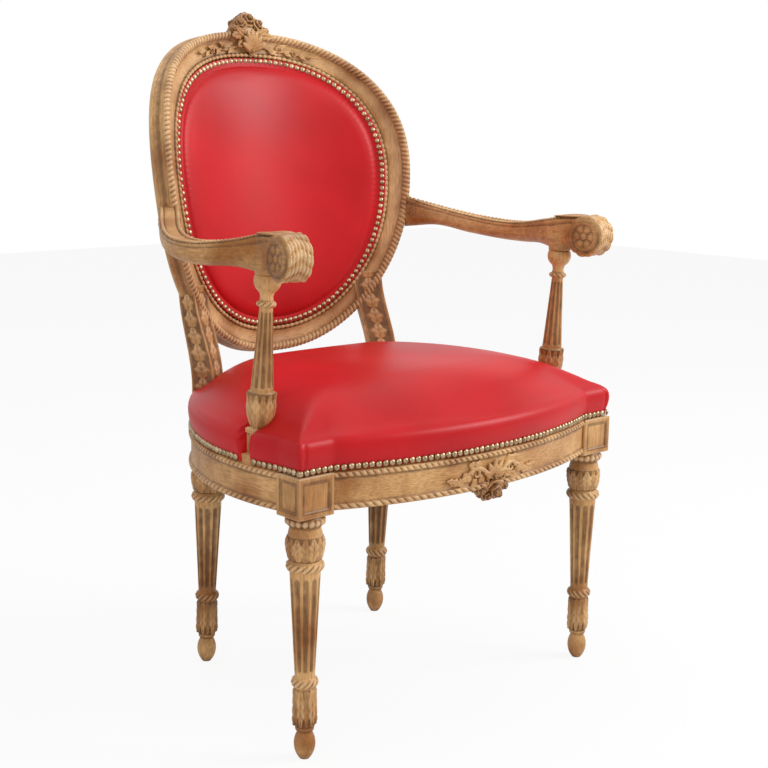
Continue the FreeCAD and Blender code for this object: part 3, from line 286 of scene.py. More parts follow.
# %% Bleached and waxed beech
def beech(name, along, light="E4B276", dark="A86D34"):
    """Along is the axis of the grain: streaks about 1.5 mm wide and twenty times as long."""
    material, tree, shader = finish(name, 0.42)
    shader.inputs["Specular IOR Level"].default_value = 0.35
    place = node(tree, "ShaderNodeTexCoord").outputs["Object"]
    stretch = tuple(30 if axis == along else 600 for axis in range(3))
    grain_place = node(tree, "ShaderNodeMapping", None, {"Vector": place, "Scale": stretch}).outputs[0]
    patches, cloud = mottled(tree, place, 14, 0.35, 0.65, colour(dark), colour(light))
    streak, grain = mottled(tree, grain_place, 1.0, 0.30, 0.62, colour("6A3C17"), patches, 3.0)
    soft = node(tree, "ShaderNodeMix", {"data_type": "RGBA"}, {0: 0.45, 6: patches, 7: streak}).outputs[2]
    hollow_and_ridge = node(tree, "ShaderNodeAttribute", {"attribute_name": "hollow"}).outputs["Fac"]
    breakup = node(tree, "ShaderNodeTexNoise", None, {"Vector": place, "Scale": 90, "Detail": 3}).outputs[0]
    uneven = node(tree, "ShaderNodeMath", {"operation": "MULTIPLY_ADD"},
                  {0: breakup, 1: 0.7, 2: -0.33}).outputs[0]
    # Dark in the hollows, toward 4B2C15: painted shade, along with the dark wax that sits there.
    shade_and_wax_level = node(tree, "ShaderNodeMath", {"operation": "ADD"}, {0: hollow_and_ridge, 1: uneven}).outputs[0]
    shade_and_wax = node(tree, "ShaderNodeMapRange", None, {0: shade_and_wax_level, 1: 0.05, 2: 0.8, 4: 0.9}).outputs[0]
    shaded_and_waxed = node(tree, "ShaderNodeMix", {"data_type": "RGBA"},
                 {0: shade_and_wax, 6: soft, 7: colour("4B2C15")}).outputs[2]
    # Pale where the value is below zero: rubbed ridges, and painted light on the upper faces of free leaves and
    # stems.
    pale = node(tree, "ShaderNodeMapRange", None, {0: hollow_and_ridge, 1: -0.05, 2: -0.8, 4: 0.55}).outputs[0]
    last = node(tree, "ShaderNodeMix", {"data_type": "RGBA"},
                {0: pale, 6: shaded_and_waxed, 7: colour("F0DDBA")}).outputs[2]
    tree.links.new(last, shader.inputs["Base Color"])
    gloss = node(tree, "ShaderNodeMapRange", None, {0: cloud, 3: 0.34, 4: 0.52}).outputs[0]
    tree.links.new(gloss, shader.inputs["Roughness"])
    bumped(tree, shader, grain, 0.25, 0.0004)
    return material


beech_upright = beech("waxed_beech_upright", 2)
beech_across = beech("waxed_beech_across", 0)
beech_fore = beech("waxed_beech_fore_and_aft", 1)
beech_plain = beech("unfinished_beech", 0, "D8BF94", "BF9D6C")

# %% Red leather, semi-gloss, and aged brass
red_leather, tree, shader = finish("red_cowhide", 0.4)
shader.inputs["Specular IOR Level"].default_value = 0.2
place = node(tree, "ShaderNodeTexCoord").outputs["Object"]
hide, cloud = mottled(tree, place, 7, 0.3, 0.7, colour("B4141A"), colour("CC1A20"))
tree.links.new(hide, shader.inputs["Base Color"])
gloss = node(tree, "ShaderNodeMapRange", None, {0: cloud, 3: 0.33, 4: 0.47}).outputs[0]
tree.links.new(gloss, shader.inputs["Roughness"])
pebble = node(tree, "ShaderNodeTexVoronoi", None, {"Vector": place, "Scale": 900})
bumped(tree, shader, pebble.outputs["Distance"], 0.12, 0.0003)

aged_brass, tree, shader = finish("aged_brass", 0.34, 1.0)
place = node(tree, "ShaderNodeTexCoord").outputs["Object"]
metal, cloud = mottled(tree, place, 110, 0.35, 0.65, colour("8A7457"), colour("C2A988"))
hollow_and_ridge = node(tree, "ShaderNodeAttribute", {"attribute_name": "hollow"}).outputs["Fac"]
patina = node(tree, "ShaderNodeMix", {"data_type": "RGBA"},
              {0: hollow_and_ridge, 6: metal, 7: colour("5A4324")}).outputs[2]
tree.links.new(patina, shader.inputs["Base Color"])
gloss = node(tree, "ShaderNodeMapRange", None, {0: cloud, 3: 0.27, 4: 0.45}).outputs[0]
tree.links.new(gloss, shader.inputs["Roughness"])
bumped(tree, shader, cloud, 0.1, 0.0002)


# %% Cloths inside the upholstery
def woven(name, thread, light, dark):
    """A plain weave: two sets of waves at the thread spacing, given in millimetres."""
    material, tree, shader = finish(name, 0.9)
    place = node(tree, "ShaderNodeTexCoord").outputs["Object"]
    scale = 1000 / thread / 2
    waves = [node(tree, "ShaderNodeTexWave", {"bands_direction": way}, {"Vector": place, "Scale": scale / 3})
             for way in ("X", "Y")]
    both = node(tree, "ShaderNodeMath", {"operation": "MULTIPLY"},
                {0: waves[0].outputs[1], 1: waves[1].outputs[1]})
    mix = node(tree, "ShaderNodeMix", {"data_type": "RGBA"},
               {0: both.outputs[0], 6: colour(dark), 7: colour(light)})
    tree.links.new(mix.outputs[2], shader.inputs["Base Color"])
    bumped(tree, shader, both.outputs[0], 0.5, 0.0004)
    return material


hessian = woven("jute_hessian", 1.6, "B89A6A", "7A5F3A")
jute = woven("jute_webbing", 2.2, "A88A5C", "64492A")
calico = woven("black_calico", 0.8, "2A2725", "141211")
hair = woven("curled_horsehair", 1.0, "3A2C22", "17100B")
inner = {"plain_wood": beech_plain, "carved_wood": beech_across, "hessian": hessian, "webbing": jute,
         "horsehair": hair, "dust_cloth": calico, "red_leather": red_leather, "brass_nails": aged_brass}
for row in frame["record"]["subparts"]:
    held = frame["nodes"][row["node"]].data.materials
    held.clear()
    held.append(inner[row["material_slot"]])
print("finishes:", len(bpy.data.materials))

# %% [markdown]
# ## Legs
# A front leg is turned, then carved: pearls under the block, a cup of leaves, a rope, a fluted shaft,
# a second rope, hanging leaves and a small top-shaped foot.

# %% The turned and carved leg
LEG = profile([(6.5, 0), ((14.25, 22), (10, 37)), (12.5, 41), (15, 95), (13.25, 99), ((18, 106), (13.25, 113)),
               (13.25, 115), (20, 253), (20, 257), ((25, 264), (20, 271)), ((23.5, 292), (20, 316)),
               ((24.5, 323.5), (22, 331))])


def leg_carving(z, angle, radius):
    pearls = pearl(angle / TAU * 18, (z - 323.5) / 5) * ((z > 318) & (z < 330))
    ropes = [(strand(angle / TAU * 16 + (z - 264) / 9), hump(z, 258, 270)),
             (strand(angle / TAU * 13 + (z - 106) / 9), hump(z, 100, 112))]
    cup = leaves(angle, (z - 273) / 31, 7)
    hanging = leaves(angle, (98 - z) / 52, 6)
    grooves = flute(angle, z, radius, 10, 124, 245)
    added = 2.2 * pearls + 2.8 * cup - 2.6 * grooves + hanging * (1.4 + 2.6 * np.clip((98 - z) / 52, 0, 1))
    # Flutes and the gaps between pearls, strands and leaves are painted dark: painted shade, together with wax.
    depth = 0.9 * grooves ** 0.5 * 0.55 - 0.3 * pearls
    for ridge, swell in ropes:
        added = added + swell * (1.9 * ridge - 1.6)
        depth = depth + swell * (0.9 - 1.35 * ridge)
    for carved, low, high in ((cup, 271, 305), (hanging, 44, 99), (pearls, 317, 331)):
        zone = hump(z, low, high) > 0.2
        depth = depth + zone * (0.55 - 0.95 * np.clip(carved, 0, 1))
    # Dark rings under the pearls and over the foot are painted shade, together with wax; the foot is also made
    # darker towards its bottom end.
    collar = 0.5 * (np.exp(-((z - 316) / 1.3) ** 2) + np.exp(-((z - 40) / 2) ** 2))
    return added, depth + collar + 0.35 * np.exp(-z / 6)


leg_rows = np.unique(np.concatenate([np.arange(0, 116, 1.1), np.arange(116, 250, 2.5), np.arange(250, 331, 1.0),
                                     [331.0]]))
leg_points, leg_depth = turn_on_lathe(LEG, leg_rows, 168, leg_carving)


def prism(centre, axis_x, axis_y, lows, highs, heights, panels=(), sink=2.0, margin=8.0):
    """An upright block with rounded corners; panels names the faces (0 front, 1 right) that are sunk."""
    (low_x, low_y), (high_x, high_y) = lows, highs
    corners = [(low_x, low_y), (high_x, low_y), (high_x, high_y), (low_x, high_y)]
    path, across, face, out = [], [], [], []
    for k in range(4):
        start, end = np.array(corners[k]), np.array(corners[(k + 1) % 4])
        length = np.linalg.norm(end - start)
        steps = np.concatenate([[1.0], np.linspace(2.2, length - 2.2, max(int(length), 4)), [length - 1.0]])
        way = (end - start) / length
        path += [start + way * s for s in steps]
        across += [length / 2 - abs(s - length / 2) for s in steps]
        face += [k] * len(steps)
        out += [(way[1], -way[0])] * len(steps)
    path, across, face, out = map(np.array, (path, across, face, out))
    z = np.asarray(heights, float)[:, None]
    edge = np.minimum(across[None], np.minimum(z - z.min(), z.max() - z))
    ramp = np.clip((edge - margin) / 1.6, 0, 1)
    lip = np.exp(-((edge - margin + 1.5) / 1.0) ** 2)
    on = np.isin(face, panels)[None].astype(float)
    push = -on * (sink * ramp + 0.7 * lip) - 0.7 * np.exp(-edge / 0.8)
    # The line round each sunk panel is painted dark, as shade together with wax; the block's arrises are made
    # pale, as rubbed.
    depth = on * (0.55 * lip + 0.5 * np.exp(-((edge - margin - 1.2) / 1.5) ** 2)) - 0.5 * np.exp(-edge / 1.2)
    flat = path[None] + out[None] * push[..., None]
    points = np.asarray(centre) + flat[..., :1] * axis_x + flat[..., 1:] * axis_y
    points[..., 2] = np.broadcast_to(z, push.shape)
    return points, depth


X_WAY, Y_WAY = np.array([1.0, 0, 0]), np.array([0, 1.0, 0])
leg_axis = np.array([FRONT_LEG_X, 0, 0])
block_rows = np.concatenate([[331, 331.8], np.linspace(333, 383, 56), [384.2, 385]])
for side, mirror in (("right", False), ("left", True)):
    piece = Piece().grid(leg_points + leg_axis, leg_depth, mirror=mirror)
    block, block_hollow_and_ridge = prism(leg_axis, X_WAY, Y_WAY, (-BLOCK_HALF_WIDTH, -BLOCK_HALF_DEPTH),
                               (BLOCK_HALF_WIDTH, BLOCK_HALF_DEPTH), block_rows, (0, 1))
    piece.grid(block, block_hollow_and_ridge, mirror=mirror)
    piece.make("carved_front_leg_" + side, beech_upright, "carved_wood", ["front_leg_" + side])

# %% [markdown]
# ## Seat rails
# Each rail is one section carried along its bow, with a rope along its lower edge and a finer one
# under the nails.

# %% Front and side rails
def rail(centre, radius, first, last, name, material, replaces, mirror=False):
    """One rail: its section is a list of (distance out from the bow, height), carried along the bow."""
    span = abs(last - first) * radius
    turns = np.linspace(first, last, int(span / 1.2))
    run = np.linspace(0, span, len(turns))[:, None]
    face, land, inside, land_top = -2.2, -5, -36, RAIL_TOP + 11.8
    rows = [(face, RAIL_BOTTOM)] + [(face, RAIL_BOTTOM + rise) for rise in np.linspace(0.2, 8, 11)]
    rows += [(face - 0.5 * math.sin(math.pi * k / 9), RAIL_BOTTOM + 8.4 + 33 * k / 9) for k in range(10)]
    rows += [(face, RAIL_TOP - drop) for drop in np.linspace(8, 0.4, 10)]
    rows += [(face - 0.2, RAIL_TOP), (land, RAIL_TOP), (land, land_top)]
    rows += [(inside, land_top), (inside, RAIL_BOTTOM), (-20, RAIL_BOTTOM)]
    out, z = (np.array(v)[None] for v in zip(*rows))
    front = out > -4
    low = hump(z, RAIL_BOTTOM - 0.2, RAIL_BOTTOM + 8.3) * front
    high = hump(z, RAIL_TOP - 7.5, RAIL_TOP - 0.1) * front
    low_pitch, high_pitch = 11.5, NAIL_PITCH
    low_ridge = strand(run / low_pitch + (z - RAIL_BOTTOM - 4) / 10)
    high_ridge = strand(run / high_pitch + (z - RAIL_TOP + 4) / 11)
    added = low * (1.2 + 2.3 * low_ridge) + high * (0.9 + 2.3 * high_ridge)
    depth = low * (0.85 - 1.3 * low_ridge) + high * (0.85 - 1.3 * high_ridge)
    # Dark lines beside the two ropes and between their strands: painted shade, together with wax.
    shade_and_wax_lines = sum(np.exp(-((z - line) / 1.2) ** 2) for line in (RAIL_BOTTOM + 9, RAIL_TOP - 8.4))
    depth = depth + front * 0.6 * shade_and_wax_lines
    reach = radius + out + added
    spots = np.stack([centre[0] + reach * np.cos(turns)[:, None], centre[1] + reach * np.sin(turns)[:, None],
                      np.broadcast_to(z, reach.shape)], -1)
    piece = Piece().grid(spots, depth, mirror=mirror)
    return piece.make(name, material, "carved_wood", replaces)


half = math.asin((BOW_END + 1.5) / FRONT_R)
rail(FRONT_C, FRONT_R, -math.pi / 2 - half, -math.pi / 2 + half, "carved_front_rail", beech_across,
     ["front_rail"])
rail_end = REAR_AXIS + OUT * (STILE_OUTWARD - 1) + SIDE * (STILE_HALF_WIDTH - 1) - SIDE_C
side_first = math.atan2(BLOCK_HALF_DEPTH - 1.5 - SIDE_C[1], FACE_X - SIDE_C[0])
side_last = math.atan2(rail_end[1], rail_end[0])
for side, mirror in (("right", False), ("left", True)):
    rail(SIDE_C, SIDE_R, side_first, side_last, "carved_side_rail_" + side, beech_fore,
         ["side_rail_" + side], mirror)

# %% [markdown]
# ## Oval back
# The frame of the back is a curved oval, drawn upright and then leaned. Its section has a rebate for
# the leather, a row of pearls, a hollow face, a rope on the edge and a grooved side.

# %% The oval and its leaned place
def oval(angle, half_width, half_height):
    """A full oval between an ellipse and a rectangle, a little wider at the top."""
    c, s = np.cos(angle), np.sin(angle)
    u = half_width * np.sign(c) * np.abs(c) ** (2 / 2.29)
    v = half_height * np.sign(s) * np.abs(s) ** (2 / 2.29)
    return u * (1 + 0.099 * v / half_height), v


def bent(u, v, depth=0.0):
    """A place on the upright back, which is bent round the sitter; depth is toward the rear."""
    turn = np.arcsin(u / BACK_RADIUS)
    radius = BACK_RADIUS + depth
    return np.stack(np.broadcast_arrays(radius * np.sin(turn), radius * np.cos(turn) - BACK_RADIUS, v), -1)


def leaned(points):
    y = points[..., 1] * math.cos(LEAN) + points[..., 2] * math.sin(LEAN) + BACK_Y
    z = points[..., 2] * math.cos(LEAN) - points[..., 1] * math.sin(LEAN) + BACK_HEIGHT
    return np.stack([points[..., 0], y, z], -1)


def even(curve, first, last, step):
    """Values that set points about a step apart along a curve, and the length of the curve."""
    fine = np.linspace(first, last, 3000)
    run = np.concatenate([[0], np.cumsum(np.linalg.norm(np.diff(curve(fine), axis=0), axis=1))])
    return np.interp(np.linspace(0, run[-1], max(int(run[-1] / step), 4) + 1), run, fine), run[-1]


def ring_frame(angle):
    """The oval frame at an angle: its inner edge, the ways across it and forward, and its width."""
    inner_edge, outer_edge = bent(*oval(angle, *INNER_OVAL)), bent(*oval(angle, *OUTER_OVAL))
    across = outer_edge - inner_edge
    width = np.linalg.norm(across, axis=-1, keepdims=True)
    across = across / width
    turn = np.arcsin((inner_edge[..., 0] + outer_edge[..., 0]) / 2 / BACK_RADIUS)
    forward = np.stack([-np.sin(turn), -np.cos(turn), 0 * turn], -1)
    forward = forward - across * np.sum(forward * across, -1, keepdims=True)
    return inner_edge, across, forward / np.linalg.norm(forward, axis=-1, keepdims=True), width


def on_ring(angle, aside, front):
    """A place on the oval frame: aside from its inner edge, in front of its face."""
    inner_edge, across, forward, width = ring_frame(np.asarray(angle, float))
    return leaned(inner_edge + across * aside + forward * front)


def ring_grid(first, last):
    """The carved section of the oval between two angles, in runs of (aside, in front, hollow)."""
    angles, length = even(lambda a: bent(*oval(a, *ROPE_OVAL)), math.radians(first), math.radians(last), 1.25)
    inner_edge, across, forward, width = ring_frame(angles)
    run = np.linspace(0, 1, len(angles))[:, None]
    balls, twists = run * round(length * 0.93 / 9.2), run * round(length / 7.2)
    t9, t13, t14 = (np.linspace(0, 1, k)[None] for k in (9, 13, 14))
    blank = np.zeros_like(width)
    ball = 0.42 + 0.66 * np.sqrt(np.clip(1 - (2 * (balls % 1) - 1) ** 2, 0, 1)) + 0 * t9
    ridge = strand(twists + t13 * 0.9)
    grooves = np.array([[0, 0.9, 0.1, 1.2, 2.2, 1.4, 0.2, 1.0, 0]])
    # The third value of each run darkens the rebate, the gaps between pearls and strands, the edges of the
    # hollow face and the grooves: painted shade, together with wax.
    runs = [
        (blank + [[0, 0]], [[-24, -6]], 0.0), (blank + [[0.5, 8, 14.5]], [[-6, -6, -6]], 0.5),
        (18 - 3.4 * ball * np.cos(np.pi * t9), -3.2 + 3.5 * ball * np.sin(np.pi * t9),
         1.0 - 1.35 * ball * np.sin(np.pi * t9)),
        (21.4 + (width - 11.6 - 21.4) * (0.03 + 0.94 * t14), -3 - 1.3 * np.sin(np.pi * t14),
         0.55 * (np.exp(-t14 * 9) + np.exp((t14 - 1) * 9)) - 0.25 * np.sin(np.pi * t14)),
        (width - 5.5 - 5.7 * (0.78 + 0.26 * ridge) * np.cos(np.pi * t13),
         -3.2 + 5.4 * (0.78 + 0.26 * ridge) * np.sin(np.pi * t13), 0.85 - 1.35 * ridge + 0 * t13),
        (width - grooves, [[-6, -7.2, -8.4, -11, -14, -17, -19.6, -20.8, -22]], 0.55 * grooves / 2.2),
        (width - [[0, 2.2]], [[2.4 - RING_DEPTH, -RING_DEPTH]], -0.3),
        (15 + (width - 17.2) * [[0.8, 0.5, 0.2, 0.0]], [[-RING_DEPTH] * 4], 0.0),
        (blank + [[15, 0.3]], [[-24, -24]], 0.2),
    ]
    a, b, depth = [], [], []
    for aside, front, hollow_and_ridge in runs:
        shape = np.broadcast_shapes(np.shape(aside), np.shape(front))
        a.append(np.broadcast_to(aside, shape))
        b.append(np.broadcast_to(front, (len(angles), shape[1])))
        depth.append(np.broadcast_to(hollow_and_ridge, (len(angles), shape[1])))
    a, b, depth = (np.concatenate(v, axis=1) for v in (a, b, depth))
    spots = inner_edge[:, None] + across[:, None] * a[..., None] + forward[:, None] * b[..., None]
    return leaned(spots), depth


for name, first, last, node_name in (("carved_crest", 45, 135, "crest_rail"),
                                     ("carved_oval_foot", -120, -60, "bottom_back_rail")):
    Piece().grid(*ring_grid(first, last)).make(name, beech_across, "carved_wood", [node_name])

# %% [markdown]
# ## Rear stiles
# One piece of wood from the floor to the shoulder of the oval: leg, block, carved bracket and side.

# %% Rear legs, blocks, brackets and sides
def smooth(t):
    """From 0 to 1 with level ends."""
    return t * t * (3 - 2 * t)


def bracket():
    """The carved bracket between the rear block and the oval, with a chain of leaves up two faces."""
    inner_edge, across, forward, width = ring_frame(np.array(math.radians(-35)))
    top = leaned(inner_edge + across * width / 2 - forward * RING_DEPTH / 2)
    top_turn = math.asin((inner_edge + across * width / 2)[0] / BACK_RADIUS)
    heights = np.arange(386.0, top[2] + 1, 1.3)
    t = smooth(np.clip((heights - 435) / (top[2] - 435), 0, 1))
    turn = STILE_TURN + (top_turn - STILE_TURN) * t
    centre = REAR_AXIS[:2] + (top[:2] - REAR_AXIS[:2]) * t[:, None]
    deep = (STILE_OUTWARD - 4 * t)[:, None]
    wide = STILE_HALF_WIDTH
    a, b, depth = [], [], []
    steps = np.concatenate([[-0.97], np.linspace(-0.93, 0.93, 44), [0.97]])[None]
    z = heights[:, None]
    for face in range(4):
        cell, chain = ((z - 400) / 24) % 1, steps * (1.5 if face % 2 == 0 else 1.15)
        carved = leaf(chain, cell, 2) * (face < 2) * (z > 398)
        frame_line = np.exp(-((np.abs(steps) - 0.84) / 0.03) ** 2) * (face < 2)
        push = 1.8 * carved - 1.2 * (face < 2) * (np.abs(steps) < 0.8) - 0.8 * frame_line
        # Dark frame lines and a dark field round the leaves: painted shade, together with wax.
        hollow_and_ridge = 0.6 * frame_line + (face < 2) * (np.abs(steps) < 0.8) * (0.6 - 1.1 * np.clip(carved, 0, 1))
        long, short = (steps * wide, deep + push) if face % 2 == 0 else (steps * deep, wide + push)
        pair = [(long, -short), (short, long), (-long, short), (-short, -long)][face]
        a.append(np.broadcast_to(pair[0], push.shape))
        b.append(np.broadcast_to(pair[1], push.shape))
        depth.append(np.broadcast_to(hollow_and_ridge, push.shape))
    a, b, depth = (np.concatenate(v, axis=1) for v in (a, b, depth))
    c, s = np.cos(turn)[:, None], np.sin(turn)[:, None]
    spots = [centre[:, :1] + a * c + b * s, centre[:, 1:] - a * s + b * c, np.broadcast_to(z, a.shape)]
    return np.stack(spots, -1), depth


splay = math.atan2(LEG_SPLAY, LEG_HEIGHT)
rear_leg = leg_points - [0, 0, LEG_HEIGHT]
leg_y = rear_leg[..., 1] * math.cos(splay) - rear_leg[..., 2] * math.sin(splay)
leg_z = rear_leg[..., 2] * math.cos(splay) + rear_leg[..., 1] * math.sin(splay) + LEG_HEIGHT
rear_leg = np.stack([rear_leg[..., 0], leg_y, leg_z], -1) + REAR_AXIS
rear_leg[..., 2] = np.where(rear_leg[..., 2] < 2.5, 0, rear_leg[..., 2])
rear_leg[1:3, :, 2] = np.array([1.2, 2.4])[:, None]
rear_block = prism(REAR_AXIS, SIDE, OUT, (-STILE_HALF_WIDTH, -STILE_INWARD),
                   (STILE_HALF_WIDTH, STILE_OUTWARD), np.linspace(LEG_HEIGHT, RAIL_TOP + 12, 24))
for side, mirror in (("right", False), ("left", True)):
    # The rear legs are made a little darker all over than the front ones.
    piece = Piece().grid(rear_leg, leg_depth + 0.12, mirror=mirror).grid(*rear_block, mirror=mirror)
    piece.grid(*bracket(), mirror=mirror).grid(*ring_grid(-60, 45), mirror=mirror)
    piece.make("carved_rear_stile_" + side, beech_upright, "carved_wood", ["rear_stile_" + side])

# %% [markdown]
# ## Arm posts
# A fluted baluster on a square plinth, with a cup of leaves at its foot and a bulb under the arm.

# %% Posts on their leaning axis
post_axis = (POST_TOP - POST_FOOT) / np.linalg.norm(POST_TOP - POST_FOOT)
post_length = float(np.linalg.norm(POST_TOP - POST_FOOT))
post_across = X_WAY - post_axis * post_axis[0]
post_across = post_across / np.linalg.norm(post_across)
post_fore = np.cross(post_axis, post_across)
ring_low = post_length - 41
POST = profile([(9, 41), (11, 46), ((17.5, 68), (16.5, 85)), (18.5, 94), (15, 94.5), (8.5, ring_low),
                ((13, ring_low + 3.5), (9.5, ring_low + 7)), ((8.5, ring_low + 13), (10.5, ring_low + 19)),
                ((17.5, post_length - 11), (15.5, post_length + 1))])


def post_carving(z, angle, radius):
    cup = leaves(angle, (z - 47) / 46, 6)
    grooves = flute(angle, z, radius, 10, 103, ring_low - 8)
    swell = hump(z, ring_low, ring_low + 7)
    ridge = strand(angle / TAU * 10 + z / 7)
    zone = (z > 47) & (z < 94)
    added = 2.4 * cup * (0.5 + 0.6 * np.clip((z - 47) / 46, 0, 1)) - 1.7 * grooves + swell * (1.4 * ridge - 1.2)
    # Flutes, the gaps between leaves and strands, and the line under the ring are painted dark: painted shade,
    # together with wax.
    depth = 0.5 * grooves ** 0.5 + zone * (0.55 - 0.95 * np.clip(cup, 0, 1)) + swell * (0.9 - 1.3 * ridge)
    return added, depth + 0.4 * np.exp(-((z - ring_low - 8) / 1.5) ** 2)


post_points, post_depth = turn_on_lathe(POST, np.arange(41, post_length + 1, 1.1), 132, post_carving)
post_points = (POST_FOOT + post_points[..., :1] * post_across + post_points[..., 1:2] * post_fore
               + post_points[..., 2:] * post_axis)
plinth = prism(POST_FOOT, X_WAY, Y_WAY, (-PLINTH_HALF, -PLINTH_HALF), (PLINTH_HALF, PLINTH_HALF),
               RAIL_TOP + np.linspace(0, PLINTH_TOP, 40), (0, 1), 0.8, 4)
cap_half = PLINTH_HALF + 1.5
cap = prism(POST_FOOT, X_WAY, Y_WAY, (-cap_half, -cap_half), (cap_half, cap_half),
            RAIL_TOP + np.linspace(PLINTH_TOP - 7, PLINTH_TOP - 1, 7))
for side, mirror in (("right", False), ("left", True)):
    piece = Piece().grid(post_points, post_depth, mirror=mirror)
    piece.grid(*plinth, mirror=mirror).grid(*cap, mirror=mirror)
    piece.make("carved_arm_post_" + side, beech_upright, "carved_wood", ["arm_post_" + side])

# %% [markdown]
# ## Arms
# A bowed rail with pearls along both top edges, that ends in a scroll with a leaf over it and a
# rosette on each side.

# %% The sweep of the arm and its scrolled hand
def curve(knots, values, x):
    """A smooth line through values at knots."""
    knots, values = np.array(knots, float), np.array(values, float)
    slope = np.gradient(values, knots)
    k = np.clip(np.searchsorted(knots, x) - 1, 0, len(knots) - 2)
    run = knots[k + 1] - knots[k]
    t = (x - knots[k]) / run
    return ((1 + 2 * t) * (1 - t) ** 2 * values[k] + t * (1 - t) ** 2 * run * slope[k]
            + t * t * (3 - 2 * t) * values[k + 1] + t * t * (t - 1) * run * slope[k + 1])


def arm_grid():
    """The arm from the oval to the end of its hand: plan, top line, height and width along its run."""
    inner_edge, across, forward, width = ring_frame(np.array(math.radians(-8)))
    root = leaned(inner_edge + across * (width - 2.5) - forward * RING_DEPTH / 2)
    tip = leaned(inner_edge + across * width - forward * RING_DEPTH / 2)
    hand_way = np.array([math.sin(math.radians(8)), -math.cos(math.radians(8)), 0])
    hand_top = HAND_HEIGHT + HAND_RADIUS
    t = np.linspace(0, 1, 250)
    flat = np.stack([root[0] + (POST_TOP[0] - root[0]) * t + 50 * np.sin(np.pi * np.clip(t, 0, 1)) ** 1.15,
                     root[1] + (POST_TOP[1] - root[1]) * t], -1)
    way = np.gradient(flat, axis=0)
    way = way / np.linalg.norm(way, axis=1, keepdims=True)
    root_way = (tip - root)[:2] / np.linalg.norm((tip - root)[:2])
    early, late = smooth(np.clip(t / 0.15, 0, 1))[:, None], smooth(np.clip((t - 0.84) / 0.16, 0, 1))[:, None]
    way = root_way * (1 - early) + way * early
    way = way * (1 - late) + hand_way[:2] * late
    top_line = root[2] + 25
    top = top_line + (hand_top - 2 - top_line) * t - 24 * np.sin(np.pi * t)
    height = curve([0, 0.04, 0.15, 0.32, 0.5, 0.68, 0.84, 1], [50, 45, 32, 30, 30, 31.8, 36, 51.5], t)
    wide = np.full(len(t), 30.0) + 4 * np.clip((t - 0.84) / 0.16, 0, 1)
    reach = np.linspace(0.02, 1, 40)
    flat = np.concatenate([flat, POST_TOP[:2] + hand_way[:2] * (reach * HAND_REACH)[:, None]])
    way = np.concatenate([way, np.repeat(hand_way[None, :2], 40, 0)])
    top = np.concatenate([top, hand_top - 2 + 2 * smooth(np.clip(reach / 0.5, 0, 1))])
    height = np.concatenate([height, curve([0, 0.55, 1], [51.5, 37, 29], reach)])
    wide = np.concatenate([wide, curve([0, 0.55, 1], [34, 35, 37], reach)])
    run = np.concatenate([[0], np.cumsum(np.linalg.norm(np.diff(flat, axis=0), axis=1))])[:, None]
    way = way / np.linalg.norm(way, axis=1, keepdims=True)
    half, up = wide[:, None] / 2, height[:, None] / 2
    under = np.linspace(math.pi, TAU, 21)[None]
    wall = np.linspace(0, 1, 12)[None, 1:]
    strip = np.linspace(-1, 1, 9)[None]
    balls = pearl(run / 6.4, strip * 0.98)
    groove = np.exp(-((wall - 0.76) / 0.06) ** 2)
    lattice = strand(run / 9 + wall * 4) * strand(run / 9 - wall * 4) * (run < 15)
    side_push = -0.8 * groove + 1.2 * lattice - 0.8 * np.exp(-((run - 16) / 1.5) ** 2)
    a = [half * np.cos(under), half + side_push, half - 3.6 - 3.4 * strip,
         (half - 8) * np.linspace(0.9, -0.9, 7)[None],
         -(half - 3.6) - 3.4 * strip, -half - side_push[:, ::-1]]
    b = [-0.25 * up + 0.75 * up * np.sin(under), -0.25 * up + (1.25 * up - 4) * wall,
         up - 2.6 + 3.6 * balls - 0.4 * strip ** 2, up - 1.4 + 0 * half + np.zeros((1, 7)),
         up - 2.6 + 3.6 * balls - 0.4 * strip ** 2, -0.25 * up + (1.25 * up - 4) * wall[:, ::-1]]
    # The side groove, the lattice gaps and the gaps between pearls are painted dark: painted shade, together
    # with wax.
    side_hollow_and_ridge = 0.7 * groove + (run < 15) * (0.7 - lattice)
    hollow_and_ridge = [0.1 + 0 * under, side_hollow_and_ridge, 0.8 - 1.3 * balls, -0.2 + np.zeros((1, 7)), 0.8 - 1.3 * balls,
            side_hollow_and_ridge[:, ::-1]]
    count = len(run)
    a, b, hollow_and_ridge = (np.concatenate([np.broadcast_to(v, (count, v.shape[1])) for v in w], 1) for w in (a, b, hollow_and_ridge))
    sideways = np.stack([-way[:, 1], way[:, 0]], -1)
    spots = flat[:, None] + sideways[:, None] * a[..., None]
    z = (top - height / 2)[:, None] + b
    return np.concatenate([spots, z[..., None]], -1), hollow_and_ridge, hand_way


arm_points, arm_depth, hand_way = arm_grid()
hand_side = np.array([-hand_way[1], hand_way[0], 0])
hand_centre = np.array([POST_TOP[0], POST_TOP[1], HAND_HEIGHT]) + hand_way * (HAND_REACH - 3)


